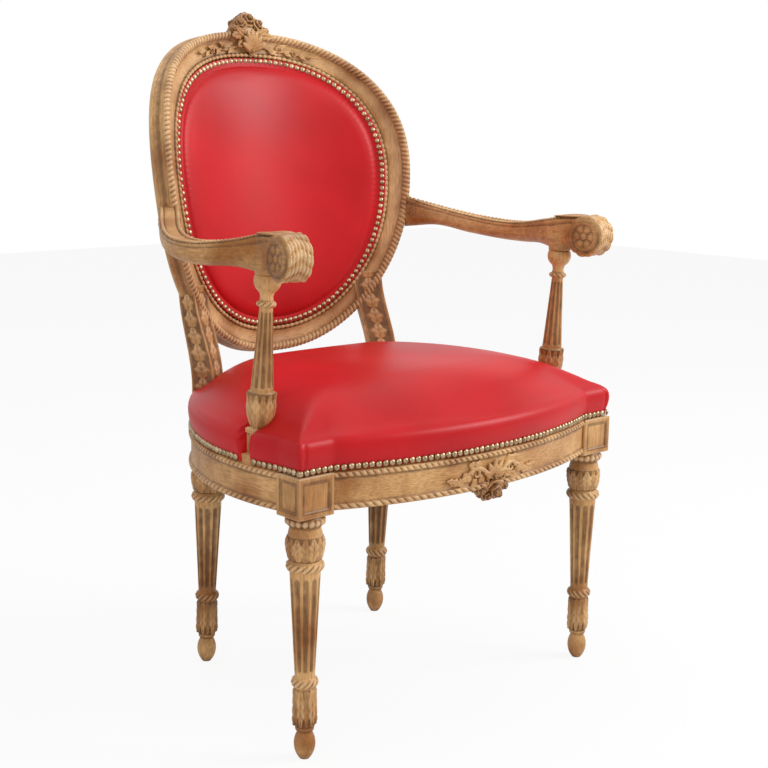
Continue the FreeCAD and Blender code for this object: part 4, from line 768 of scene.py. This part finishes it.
def hand_scroll():
    """The scroll: from the middle of one side, over the rim with its leaf, to the middle of the other."""
    turn = np.linspace(0, TAU, 150, endpoint=False)[None]
    q = np.linspace(0, 1, 90)[:, None]
    across = np.interp(q, [0, 0.25, 0.3, 0.7, 0.75, 1], [1, 1, 0.86, -0.86, -1, -1]) * HAND_HALF_WIDTH
    radius = np.interp(q, [0, 0.25, 0.3, 0.7, 0.75, 1], [0.03, 0.9, 1, 1, 0.9, 0.03]) * (HAND_RADIUS - 1.5)
    share = radius / HAND_RADIUS
    on_side = (q < 0.27) | (q > 0.73)
    petals = np.abs(np.cos(turn * 3)) ** 0.6 * hump(share, 0.22, 0.62) + hump(share, -0.2, 0.2)
    volute = strand(share * 2.2 - turn / TAU) * (share > 0.62)
    face = on_side * (1.6 * petals + 1.2 * volute)
    lift = np.clip((turn - 0.1) % TAU / TAU, 0, 1)
    veins = strand(across / 5.2 + 0.5) * (1 - on_side)
    lobes = strand(turn * 11 / TAU + np.abs(across) / 26) * (1 - on_side)
    lobe_height = 1.8 * (0.4 + np.abs(across) / HAND_HALF_WIDTH)
    rim = (1 - on_side) * (1.6 * veins + lobe_height * lobes + 1.0 * (lift < 0.5))
    across = across + np.sign(across) * face
    radius = radius + rim
    spots = (hand_centre + across[..., None] * hand_side + (radius * np.cos(turn))[..., None] * hand_way
             + (radius * np.sin(turn))[..., None] * [0, 0, 1])
    # Between petals, turns of the volute, veins and lobes the scroll is painted dark: painted shade, together
    # with wax.
    hollow_and_ridge = on_side * (0.7 - 0.6 * petals - 0.5 * volute) + (1 - on_side) * (0.75 - 0.6 * veins - 0.7 * lobes)
    return spots, hollow_and_ridge


swell_rows = profile([(15.5, 0), (17, 1), ((17.5, 12), (21, 24))])
swell, _ = turn_on_lathe(swell_rows, np.arange(0, 24, 2.0), 60, lambda z, angle, radius: (0 * z, 0 * z))


# %% [markdown]
# Leaves, petals and stems that stand clear are small closed bodies with a rib down the middle.

# %% Free leaves, flowers and stems
def sprig(piece, root, tip, normal, width, thick, curl=0.0, lobes=2, mirror=False, rib_depth=0.5):
    """A leaf or petal from root to tip, with its face toward normal."""
    root, tip, normal = (np.asarray(v, float) for v in (root, tip, normal))
    along = tip - root
    length = np.linalg.norm(along)
    along = along / length
    normal = normal - along * normal.dot(along)
    normal = normal / np.linalg.norm(normal)
    side = np.cross(along, normal)
    t = np.linspace(0.01, 0.99, 18)[:, None]
    turn = np.linspace(0, TAU, 20, endpoint=False)[None]
    half = width / 2 * np.sin(np.pi * t ** 0.8) ** 0.75 * (1 + 0.16 * np.cos(TAU * lobes * t))
    rib = np.exp(-(np.cos(turn) / 0.28) ** 2) * (np.sin(turn) > 0)
    height = thick / 2 * np.sin(np.pi * t) ** 0.5 * np.sin(turn) * (1 - rib_depth * rib)
    lift = curl * length * t ** 2
    spots = (root + along * length * t[..., None] + side * (half * np.cos(turn))[..., None]
             + normal * (height + lift)[..., None])
    # Each leaf is painted dark on its underside, in its rib and towards its root as painted shade, and pale on
    # its upper face as painted light.
    depth = np.where(np.sin(turn) > 0, 1.2 * rib_depth * rib - 0.35 * np.sin(turn), 0.6) + 0.25 * (1 - t)
    piece.grid(spots, depth, mirror=mirror)


def flower(piece, centre, normal, radius, petals=6):
    """Three rings of petals, the inner ones smaller and higher."""
    centre, normal = np.asarray(centre, float), np.asarray(normal, float) / np.linalg.norm(normal)
    first = np.cross(normal, [0.3, 0.1, 1.0])
    first = first / np.linalg.norm(first)
    second = np.cross(normal, first)
    for layer, (size, lift, count) in enumerate(((1.0, 0.0, petals), (0.66, 0.28, petals - 1), (0.36, 0.5, 4))):
        for k in range(count):
            turn = TAU * (k + 0.5 * layer) / count
            way = first * math.cos(turn) + second * math.sin(turn)
            root = centre + normal * radius * lift
            tip = root + way * radius * size + normal * radius * 0.15 * (layer + 1)
            sprig(piece, root - normal * radius * 0.2, tip, normal, radius * size * 1.35, radius * 0.5, 0.2, 0,
                  rib_depth=0.25)


def stem(piece, points, radii, normal):
    """A round stem through points, whose radius changes along it."""
    points, normal = np.asarray(points, float), np.asarray(normal, float)
    way = np.gradient(points, axis=0)
    way = way / np.linalg.norm(way, axis=1, keepdims=True)
    side = np.cross(way, normal)
    side = side / np.linalg.norm(side, axis=1, keepdims=True)
    up = np.cross(side, way)
    turn = np.linspace(0, TAU, 12, endpoint=False)
    radii = np.asarray(radii)[:, None, None]
    round_way = side[:, None] * np.cos(turn)[None, :, None] + up[:, None] * np.sin(turn)[None, :, None]
    spots = points[:, None] + radii * round_way
    # The stem is painted pale on its outward side as painted light, and dark on its side against the wood
    # behind it as painted shade.
    piece.grid(spots, np.broadcast_to(0.3 - 0.6 * np.sin(turn), spots.shape[:2]))


for side, mirror in (("right", False), ("left", True)):
    piece = Piece().grid(arm_points, arm_depth, mirror=mirror).grid(*hand_scroll(), mirror=mirror)
    piece.grid(swell + POST_TOP, 0.15, mirror=mirror)
    for start, reach in ((-0.9, 46), (-0.45, 54), (0, 60), (0.45, 54), (0.9, 46)):
        root = POST_TOP + [0, 0, 53] + hand_side * start * 14 - hand_way * 4
        tip = root + hand_way * reach + hand_side * start * 4 + [0, 0, 1.0]
        sprig(piece, root, tip, [0, 0, 1], 13, 5.5, 0.0, 3, mirror)
    piece.make("carved_arm_" + side, beech_fore, "carved_wood", ["arm_" + side])

# %% [markdown]
# ## Flowers on the crest, and the boss on the front rail

# %% Crest group: roses over a palmette, with sprays along the frame
FACE = np.array([0, -math.cos(LEAN), math.sin(LEAN)])
crest_spot = lambda u, v, out: leaned(bent(np.array(float(u)), 249.0 + v, -float(out)))
crest = Piece()
sprig(crest, crest_spot(0, -32, -8), crest_spot(0, 31, -11), FACE, 62, 26, 0.0, 0, rib_depth=0)
flower(crest, crest_spot(0, 18, -4), FACE + [0, 0, 0.4], 14.5, 6)
flower(crest, crest_spot(0, 20, -16), -FACE + [0, 0, 0.6], 13, 6)
for way in (-1, 1):
    sprig(crest, crest_spot(way * 4, -4, -10), crest_spot(way * 44, -7, -8), FACE, 24, 18, 0.0, 0, rib_depth=0)
    flower(crest, crest_spot(way * 15, 11, -2), FACE + [way * 0.5, 0, 0.4], 12.5, 6)
    flower(crest, crest_spot(way * 14, 13, -16), -FACE + [way * 0.5, 0, 0.6], 11.5, 6)
    flower(crest, crest_spot(way * 27, 1, -1), FACE + [way * 0.7, 0, 0.3], 10, 6)
    sprig(crest, crest_spot(way * 14, -4, 1), crest_spot(way * 42, -9, 4), FACE, 15, 9, 0.1, 3)
    sprig(crest, crest_spot(way * 10, -14, 1), crest_spot(way * 30, -24, 3), FACE, 13, 8, 0.1, 3)
    sprig(crest, crest_spot(way * 8, -8, 2), crest_spot(way * 32, 4, 5), FACE, 13, 8, 0.1, 3)
    for step in range(6):
        angle = math.pi / 2 - way * math.radians(6 + 3.2 * step)
        flip = 1 if step % 2 else -1
        root = on_ring(angle, 31, -2)
        tip = on_ring(angle - way * math.radians(3.8), 31 + flip * (10 - step), 0.5)
        sprig(crest, root, tip, FACE, 9.5 - 0.8 * step, 5, 0.05, 2, rib_depth=0.3)
    line = [on_ring(math.pi / 2 - way * math.radians(a), 30 + 2.5 * math.sin(a / 2), -2.4)
            for a in np.linspace(3, 23, 30)]
    stem(crest, line, np.linspace(2.6, 0.7, 30), FACE)
    for spot in (11, 17):
        flower(crest, on_ring(math.pi / 2 - way * math.radians(spot), 34 - spot / 5, -2), FACE, 5.5, 5)
for k in range(7):
    fan = math.radians((k - 3) * 24)
    root = crest_spot(0, -29, 2)
    tip = crest_spot(24 * math.sin(fan), -29 + 33 * math.cos(fan), 8)
    sprig(crest, root, tip, FACE, 12, 9, 0.06, 1, rib_depth=0.3)
flower(crest, crest_spot(0, -31, 2), FACE, 6.5, 5)
crest.make("carved_crest_flowers", beech_across, "carved_wood", ["crest_carving"])


# %% Boss and scrolls on the front rail
def rail_spot(x, z, out):
    reach = FRONT_R - 2.4 + out
    return np.array([x, FRONT_C[1] - math.sqrt(reach * reach - x * x), z])


boss, front = Piece(), np.array([0, -1.0, 0])
for x, z, out, size in ((0, 333, 2, 17), (-19, 336, 0, 13), (19, 336, 0, 13), (-9, 325, 1, 11),
                        (10, 325, 1, 11), (0, 349, 2, 10), (-11, 346, 0, 9), (11, 346, 0, 9)):
    flower(boss, rail_spot(x, z, out - 6), front + [x * 0.02, 0, -0.4 if z < 345 else 0.2], size, 5)
    flower(boss, rail_spot(x * 0.9, z + 1, out - 14), [x * 0.02, 0.6, -0.8], size * 0.95, 5)
for k in range(5):
    fan = math.radians((k - 2) * 34)
    tip = rail_spot(26 * math.sin(fan * 0.9), 350 + 25 * math.cos(fan), 3)
    sprig(boss, rail_spot(0, 348, 0), tip, front, 12, 8, 0.05, 2, rib_depth=0.3)
for way in (-1, 1):
    turns = np.linspace(0, 1, 60)
    line = [rail_spot(way * (14 + 66 * t), 356 + 11 * math.sin(5.2 * t) * (1 - 0.3 * t), 1.0) for t in turns]
    stem(boss, line, 4.2 - 2.8 * turns, front)
    curl = [rail_spot(way * (34 + (9 - 7 * t) * math.cos(6.5 * t)), 358 + (9 - 7 * t) * math.sin(6.5 * t), 1.0)
            for t in turns]
    stem(boss, curl, 3.0 - 1.6 * turns, front)
    for x, z, dx, dz, size in ((22, 366, 16, 8, 9), (34, 368, 14, 5, 8), (46, 360, 15, -9, 9),
                               (54, 352, 16, -4, 8), (62, 348, 16, 7, 8), (70, 352, 15, 4, 6),
                               (30, 350, 14, -9, 9), (42, 349, 12, 9, 7), (18, 356, 12, -10, 9)):
        tip = rail_spot(way * (x + dx * 1.15), z + dz, 2)
        sprig(boss, rail_spot(way * x, z, -0.5), tip, front, size * 1.45, 7, 0.04, 2, rib_depth=0.3)
boss.make("carved_front_flowers", beech_across, "carved_wood", ["front_rail_carving"])

# %% [markdown]
# ## Seat
# The leather is pulled over a sprung and stuffed pad. It bulges over the rails, draws in to a soft
# crown, and is cut and folded round the arm posts and the rear stiles.

# %% The seat's leather
def seat_corner(inset):
    """Where the outline leaves the front bow, its corner over the block, and where it joins the side bow."""
    x, y = FACE_X - inset, FACE_Y + inset
    front_x = math.sqrt((FRONT_R - inset) ** 2 - (FRONT_C[1] - y) ** 2)
    side_y = SIDE_C[1] - math.sqrt((SIDE_R - inset) ** 2 - (x - SIDE_C[0]) ** 2)
    return np.array([front_x, y]), np.array([x, y]), np.array([x, side_y])


FLAT_STEPS, FRONT_STEPS, RETURN_STEPS, SIDE_STEPS, REAR_STEPS = 30, 280, 26, 236, 240
SEAT_ROLL, REAR_OUTLINE = 18, 371


def seat_ring(inset):
    """Points round the seat at one level, from its left front corner; above the edge a scaled copy."""
    edge = min(inset, SEAT_ROLL)
    front_r, side_r = FRONT_R - edge, SIDE_R - edge
    half_width = SIDE_C[0] + side_r
    front_end, corner, side_begin = seat_corner(edge)
    rear_y = REAR_OUTLINE - edge
    rear = np.array([SIDE_C[0] + math.sqrt(side_r ** 2 - (rear_y - SIDE_C[1]) ** 2), rear_y])
    half = math.asin(front_end[0] / front_r)
    line = lambda start, end, count: start + (end - start) * np.linspace(0, 1, count + 1)[:-1, None]
    flip = np.array([-1, 1])
    a = np.linspace(-half, half, FRONT_STEPS + 1)[:-1] - math.pi / 2
    front = np.stack([front_r * np.cos(a), FRONT_C[1] + front_r * np.sin(a)], -1)
    first = math.atan2(side_begin[1] - SIDE_C[1], side_begin[0] - SIDE_C[0])
    last = math.atan2(rear_y - SIDE_C[1], rear[0] - SIDE_C[0])
    sweep = lambda p, q: np.linspace(p, q, SIDE_STEPS + 1)[:-1]
    bowed = lambda p, q: SIDE_C[:2] + side_r * np.stack([np.cos(sweep(p, q)), np.sin(sweep(p, q))], -1)
    ring = np.concatenate([
        line(corner * flip, front_end * flip, FLAT_STEPS), front, line(front_end, corner, FLAT_STEPS),
        line(corner, side_begin, RETURN_STEPS), bowed(first, last), line(rear, rear * flip, REAR_STEPS),
        bowed(last, first) * flip, line(side_begin * flip, corner * flip, RETURN_STEPS)])
    pivot = np.array([0, rear_y - 0.5 * half_width])
    return pivot + (ring - pivot) * (1 - (inset - edge) / half_width)


# (how far in from the rails' outer line, height)
LEVELS = [(4.8, 386.4), (2.9, 387.0), (2.8, 389), (2.8, 391), (2.6, 393.5), (1.6, 397), (0.4, 401),
          (-0.6, 406), (-1.2, 411), (-1.3, 416), (-0.8, 421), (0.6, 425.3), (3.0, 428.6), (6.0, 430.9),
          (9.5, 432.7), (14, 434.6), (19, 436.7), (26, 440.2), (33, 444), (41, 448.2), (50, 453),
          (60, 458), (71, 463), (83, 467.6), (95, 471.4), (108, 474.6), (122, 477), (136, 478.6), (146, 479.4)]
rows, heights = [], []
for level, (inset, z) in enumerate(LEVELS):
    ring = seat_ring(inset)
    # the crown's corners are rounder the higher they are
    for _ in range(int(3 + 2 * (z > 394) + 14 * max(0, level - 15) ** 1.6)):
        ring = (np.roll(ring, 1, 0) + 2 * ring + np.roll(ring, -1, 0)) / 4
    rows.append(ring)
    heights.append(np.full(len(ring), z + np.interp(z, [433, 446], [0, 1.8])))
middle, crown_top = np.array([0, 168.0]), 481.2
for share in (0.1, 0.22, 0.36, 0.52, 0.7, 0.88, 0.98):
    rows.append(middle + (rows[len(LEVELS) - 1] - middle) * (1 - share))
    heights.append(np.full(len(ring), crown_top + 1.6 * (1 - (1 - share) ** 2)))
flat, z = np.stack(rows), np.stack(heights)
top_start = 16
for _ in range(14):
    mean = (np.roll(z, 1, 1) + np.roll(z, -1, 1)) / 2
    z[top_start:] = z[top_start:] * 0.5 + mean[top_start:] * 0.5
x, y = flat[..., 0].copy(), flat[..., 1].copy()
z = z + (z > 432) * (0.9 * np.sin(x / 61 + 1) * np.sin(y / 53) + 0.5 * np.sin((x + y) / 37))
corner_x = FACE_X
for sign in (-1, 1):
    aside = np.abs(x * sign - corner_x + 9)
    fold = np.exp(-(aside / 2.6) ** 2) * (y < 60) * np.interp(z, [392, 402, 424, 434], [0, 1, 0.8, 0])
    y = y + 2.0 * fold
post_x = POST_FOOT[0]
gap_half = np.interp(z, [386, 400, 431, 446], [8.2, 9.2, 12.5, 15])
lean_x = post_x + (z - RAIL_TOP) * post_axis[0]
lean_y = POST_FOOT[1] + (z - RAIL_TOP) * post_axis[1]
blend = smooth(np.clip((gap_half + 1.8 - np.abs(y - POST_FOOT[1])) / 3.0, 0, 1)) * (z < 447)
inward = np.minimum(np.abs(x), post_x - 12.5)
x = np.where(np.abs(x) > post_x - 12.5, np.sign(x) * (np.abs(x) * (1 - blend) + inward * blend), x)
near = np.hypot(np.abs(x) - lean_x, y - lean_y)
z = z - (z > 428) * 5.0 * np.exp(-(near / 24) ** 2)
local = np.stack([np.abs(x), y], -1) - REAR_AXIS[:2]
a, b = local @ SIDE[:2], local @ OUT[:2]
limit = np.where(z < 398, -27.6, -17.6)
caught = (np.abs(a) < 24.2) & (b > limit)
b = np.where(caught, limit, b)
moved = REAR_AXIS[:2] + a[..., None] * SIDE[:2] + b[..., None] * OUT[:2]
x, y = np.where(caught, np.sign(x) * moved[..., 0], x), np.where(caught, moved[..., 1], y)
seat = Piece().grid(np.stack([x, y, z], -1), 0.0, caps=(False, True))


def skin(made, thickness):
    """Gives a leather skin its thickness, on the inner side."""
    solid = made.modifiers.new("thickness", "SOLIDIFY")
    solid.thickness, solid.offset = thickness, -1
    bpy.context.view_layer.update()
    evaluated = made.evaluated_get(bpy.context.evaluated_depsgraph_get())
    mesh = bpy.data.meshes.new_from_object(evaluated)
    made.modifiers.clear()
    made.data = mesh
    return made


seat_leather = skin(seat.make("seat_leather", red_leather, "red_leather", ["seat_cover"]), 0.0016)

# %% [markdown]
# ## Back
# The back pad is crowned and drawn tight under its nails, so that it puckers a little between them.

# %% The leather of the back, inside and outside
def oval_skin(shares, out):
    """Ovals one inside the other; out gives how far each lies in front of the frame."""
    angles, length = even(lambda a: bent(*oval(a, *NAIL_OVAL)), 0, TAU, 2.4)
    angles = angles[:-1]
    turns = np.arange(len(angles)) / len(angles) * round(length / NAIL_PITCH)
    u, v = oval(angles, NAIL_OVAL[0] + 4.5, NAIL_OVAL[1] + 4.5)
    rows = [bent(u * f, v * f, -out(f, turns, u * f, v * f)) for f in shares]
    return leaned(np.stack(rows))


def inside_out(f, turns, u, v):
    """How far the back's leather stands out: its swell, less the puckers between the nails."""
    swell = 17.2 * np.clip(1 - (f / 0.93) ** 3, 0, 1) ** 0.42
    pucker = -0.35 * (0.5 + 0.5 * np.cos(TAU * turns)) * np.exp(-abs(0.92 - f) * 200 / 4) * (f < 0.95)
    return -0.4 + swell + pucker + 0.5 * np.sin(u / 33) * np.sin(v / 41) * (f < 0.85)


shares = np.concatenate([[1.0, 0.99, 0.975, 0.96, 0.945, 0.932], np.linspace(0.925, 0.86, 12),
                         np.linspace(0.84, 0.04, 22)])
back = Piece().grid(oval_skin(shares, inside_out), 0.0, caps=(False, True))
back_leather = skin(back.make("back_leather", red_leather, "red_leather", ["back_cover"]), 0.0015)
outer = lambda f, turns, u, v: -26.0 - 3.0 * (1 - f ** 2) + 0 * u
behind = Piece().grid(oval_skin(np.linspace(1, 0.04, 24), outer), 0.0, caps=(False, True))
behind_leather = behind.make("outside_back_leather", red_leather, "red_leather", ["outside_back_cover"])
behind_leather.data.flip_normals()
skin(behind_leather, 0.0012)

# %% [markdown]
# ## Nails
# Brass dome nails, a little over 9 mm wide, set by hand: each is a hair out of line.

# %% Rows of dome nails
chance = np.random.default_rng(7)


def nail(piece, point, forward):
    """A dome whose foot is at point."""
    forward = np.asarray(forward, float) / np.linalg.norm(forward)
    point = np.asarray(point, float) + chance.normal(0, 0.16, 3)
    first = np.cross(forward, [0.21, 0.13, 0.97])
    first = first / np.linalg.norm(first)
    second = np.cross(forward, first)
    tilt = forward + (first * chance.normal(0, 0.05) + second * chance.normal(0, 0.05))
    lat = np.radians([0, 9, 22, 38, 55, 72, 86])[:, None]
    turn = np.linspace(0, TAU, 16, endpoint=False)[None]
    radius, height = NAIL_RADIUS * np.cos(lat), NAIL_RISE * np.sin(lat)
    spots = (point + (radius * np.cos(turn))[..., None] * first + (radius * np.sin(turn))[..., None] * second
             + (height + 0 * turn)[..., None] * tilt)
    piece.grid(spots, np.broadcast_to(np.clip(1 - lat * 1.6, 0, 1), spots.shape[:2]))


def middles(place, first, last):
    """Values at an even pitch along a curve, each in the middle of its share."""
    fine = np.linspace(first, last, 3000)
    run = np.concatenate([[0], np.cumsum(np.linalg.norm(np.diff(place(fine), axis=0), axis=1))])
    count = int(run[-1] / NAIL_PITCH)
    return np.interp((np.arange(count) + 0.5) * run[-1] / count, run, fine)


for name, node_name, depth, way in (("back_nail_row", "back_nails", 0.5, 1),
                                    ("outside_back_nail_row", "outside_back_nails", 26.2, -1)):
    row = Piece()
    for angle in middles(lambda a: bent(*oval(a, *NAIL_OVAL)), 0, TAU):
        u, v = oval(np.array(angle), *NAIL_OVAL)
        turn = math.asin(u / BACK_RADIUS)
        forward = leaned(np.array([-math.sin(turn) * way, -math.cos(turn) * way, 0])) - leaned(np.zeros(3))
        nail(row, leaned(bent(u, v, depth)), forward)
    row.make(name, aged_brass, "brass_nails", [node_name])


def bow_line(centre, radius):
    """Places at the nails' level on a bow, by angle."""
    return lambda angle: np.stack([centre[0] + radius * np.cos(angle), centre[1] + radius * np.sin(angle),
                                   np.full(np.shape(angle), NAIL_LEVEL)], -1)


row = Piece()
front_end, corner, side_begin = (np.append(point, NAIL_LEVEL) for point in seat_corner(NAIL_INSET))
half = math.asin(front_end[0] / (FRONT_R - NAIL_INSET))
front_place, side_place = bow_line(FRONT_C, FRONT_R - NAIL_INSET), bow_line(SIDE_C, SIDE_R - NAIL_INSET)
for angle in middles(front_place, -math.pi / 2 - half, -math.pi / 2 + half):
    nail(row, front_place(angle), [math.cos(angle), math.sin(angle), 0])
first = math.atan2(side_begin[1] - SIDE_C[1], side_begin[0] - SIDE_C[0])
sides = [(side_place(angle), [math.cos(angle), math.sin(angle), 0])
         for angle in middles(side_place, first, side_last - 5 / SIDE_R)]
beside = 5.5
for start, end, way in ((front_end, corner - [beside, 0, 0], [0, -1, 0]),
                        (corner + [0, beside, 0], side_begin, [1, 0, 0])):
    count = int(np.linalg.norm(end - start) / NAIL_PITCH + 0.4)
    sides += [(start + (end - start) * (k + 0.5) / count, way) for k in range(count)]
sides.append((corner, [1, -1, 0]))
for spot, way in sides:
    if abs(spot[1] - POST_Y) > PLINTH_HALF + 3:
        nail(row, spot, way)
        nail(row, spot * [-1, 1, 1], np.array(way) * [-1, 1, 1])
row.make("seat_nail_row", aged_brass, "brass_nails", ["seat_nails"])

# %% [markdown]
# ## Dust cloth
# Black calico tacked under the rails and drawn tight.

# %% The sheet under the seat
edge = seat_ring(SEAT_ROLL)
flat = np.stack([edge * (1 - share) + middle * share for share in np.linspace(0, 0.97, 16)])
x, y = flat[..., 0], flat[..., 1]
beside_leg = BOW_END - 1
near_leg = (np.abs(x) > beside_leg) & (y < 25)
x = np.where(near_leg, np.sign(x) * beside_leg, x)
local = np.stack([np.abs(x), y], -1) - REAR_AXIS[:2]
a, b = local @ SIDE[:2], local @ OUT[:2]
before_stile = -STILE_INWARD - 1
b = np.where((np.abs(a) < STILE_HALF_WIDTH + 1) & (b > before_stile), before_stile, b)
moved = REAR_AXIS[:2] + a[..., None] * SIDE[:2] + b[..., None] * OUT[:2]
level = RAIL_BOTTOM - 0.6 - 3 * np.linspace(0, 1, 16)[:, None] ** 0.6 + 0 * x
spots = np.stack([np.sign(x) * moved[..., 0], moved[..., 1], level], -1)
cloth = Piece().grid(spots, 0.0, caps=(False, True))
dust = cloth.make("dust_sheet", calico, "dust_cloth", ["dust_cloth"])

# %% [markdown]
# ## Floor, light and camera
# A plain white studio: a large soft lamp from the front right, a weaker one from the left, one from
# above, and white all round.

# %% Studio
floor_mesh = bpy.data.meshes.new("floor")
floor_mesh.from_pydata([(-6, -6, 0), (6, -6, 0), (6, 6, 0), (-6, 6, 0)], [], [(0, 1, 2, 3)])
floor = bpy.data.objects.new("floor", floor_mesh)
bpy.context.scene.collection.objects.link(floor)
paper, tree, shader = finish("white_paper", 0.9)
shader.inputs["Base Color"].default_value = (0.9, 0.9, 0.9, 1)
shader.inputs["Specular IOR Level"].default_value = 0.0
rays = node(tree, "ShaderNodeLightPath").outputs["Is Camera Ray"]
glow = node(tree, "ShaderNodeEmission", None, {"Color": (1, 1, 1, 1), "Strength": rays})
bright = node(tree, "ShaderNodeMath", {"operation": "MULTIPLY"}, {0: rays, 1: 0.9}).outputs[0]
blend_paper = node(tree, "ShaderNodeMixShader", None, {0: bright, 1: shader.outputs[0], 2: glow.outputs[0]})
tree.links.new(blend_paper.outputs[0], tree.nodes["Material Output"].inputs["Surface"])
floor_mesh.materials.append(paper)

world = bpy.data.worlds.new("studio")
bpy.context.scene.world = world
world.use_nodes = True
tree = world.node_tree
path = node(tree, "ShaderNodeLightPath").outputs
seen = path["Is Camera Ray"]
for ray in ("Is Glossy Ray", "Is Transmission Ray"):
    seen = node(tree, "ShaderNodeMath", {"operation": "MAXIMUM"}, {0: seen, 1: path[ray]}).outputs[0]
strength = node(tree, "ShaderNodeMapRange", None, {0: seen, 3: 0.42, 4: 1.0}).outputs[0]
tree.links.new(strength, tree.nodes["Background"].inputs["Strength"])
tree.nodes["Background"].inputs["Color"].default_value = (1, 1, 1, 1)


def lamp(name, spot, aim, size, power):
    """A square soft lamp at spot, turned to aim: metres and watts."""
    light = bpy.data.lights.new(name, "AREA")
    light.size, light.energy = size, power
    made = bpy.data.objects.new(name, light)
    bpy.context.scene.collection.objects.link(made)
    way = np.array(aim, float) - np.array(spot, float)
    way = way / np.linalg.norm(way)
    right = np.cross(way, [0, 0, 1.0])
    right = right / np.linalg.norm(right)
    up = np.cross(right, way)
    made.matrix_world = Matrix([[right[k], up[k], -way[k], spot[k]] for k in range(3)] + [[0, 0, 0, 1]])


lamp("window_right", (2.0, -1.8, 2.1), (0, 0, 0.5), 1.3, 66)
lamp("fill_left", (-2.4, -1.4, 1.5), (0, 0, 0.5), 1.6, 16)
lamp("top", (0, 0.4, 2.8), (0, 0, 0.4), 1.5, 18)

# %% Camera at the photograph's place
camera = bpy.data.cameras.new("camera")
camera.sensor_width = 36.0
camera.lens = 67.07
eye = bpy.data.objects.new("camera", camera)
bpy.context.scene.collection.objects.link(eye)
RIGHT = (0.73837, -0.67426, 0.01352)
UP = (0.11638, 0.14715, 0.98225)
AHEAD = (0.66428, 0.72369, -0.18712)
STAND = (-1.3907, -1.5234 + 0.1633 - PLAN_MIDDLE / 1000, 0.8356)
eye.matrix_world = Matrix([[RIGHT[k], UP[k], -AHEAD[k], STAND[k]] for k in range(3)] + [[0, 0, 0, 1]])
bpy.context.scene.camera = eye
bpy.context.scene.view_settings.view_transform = "Standard"
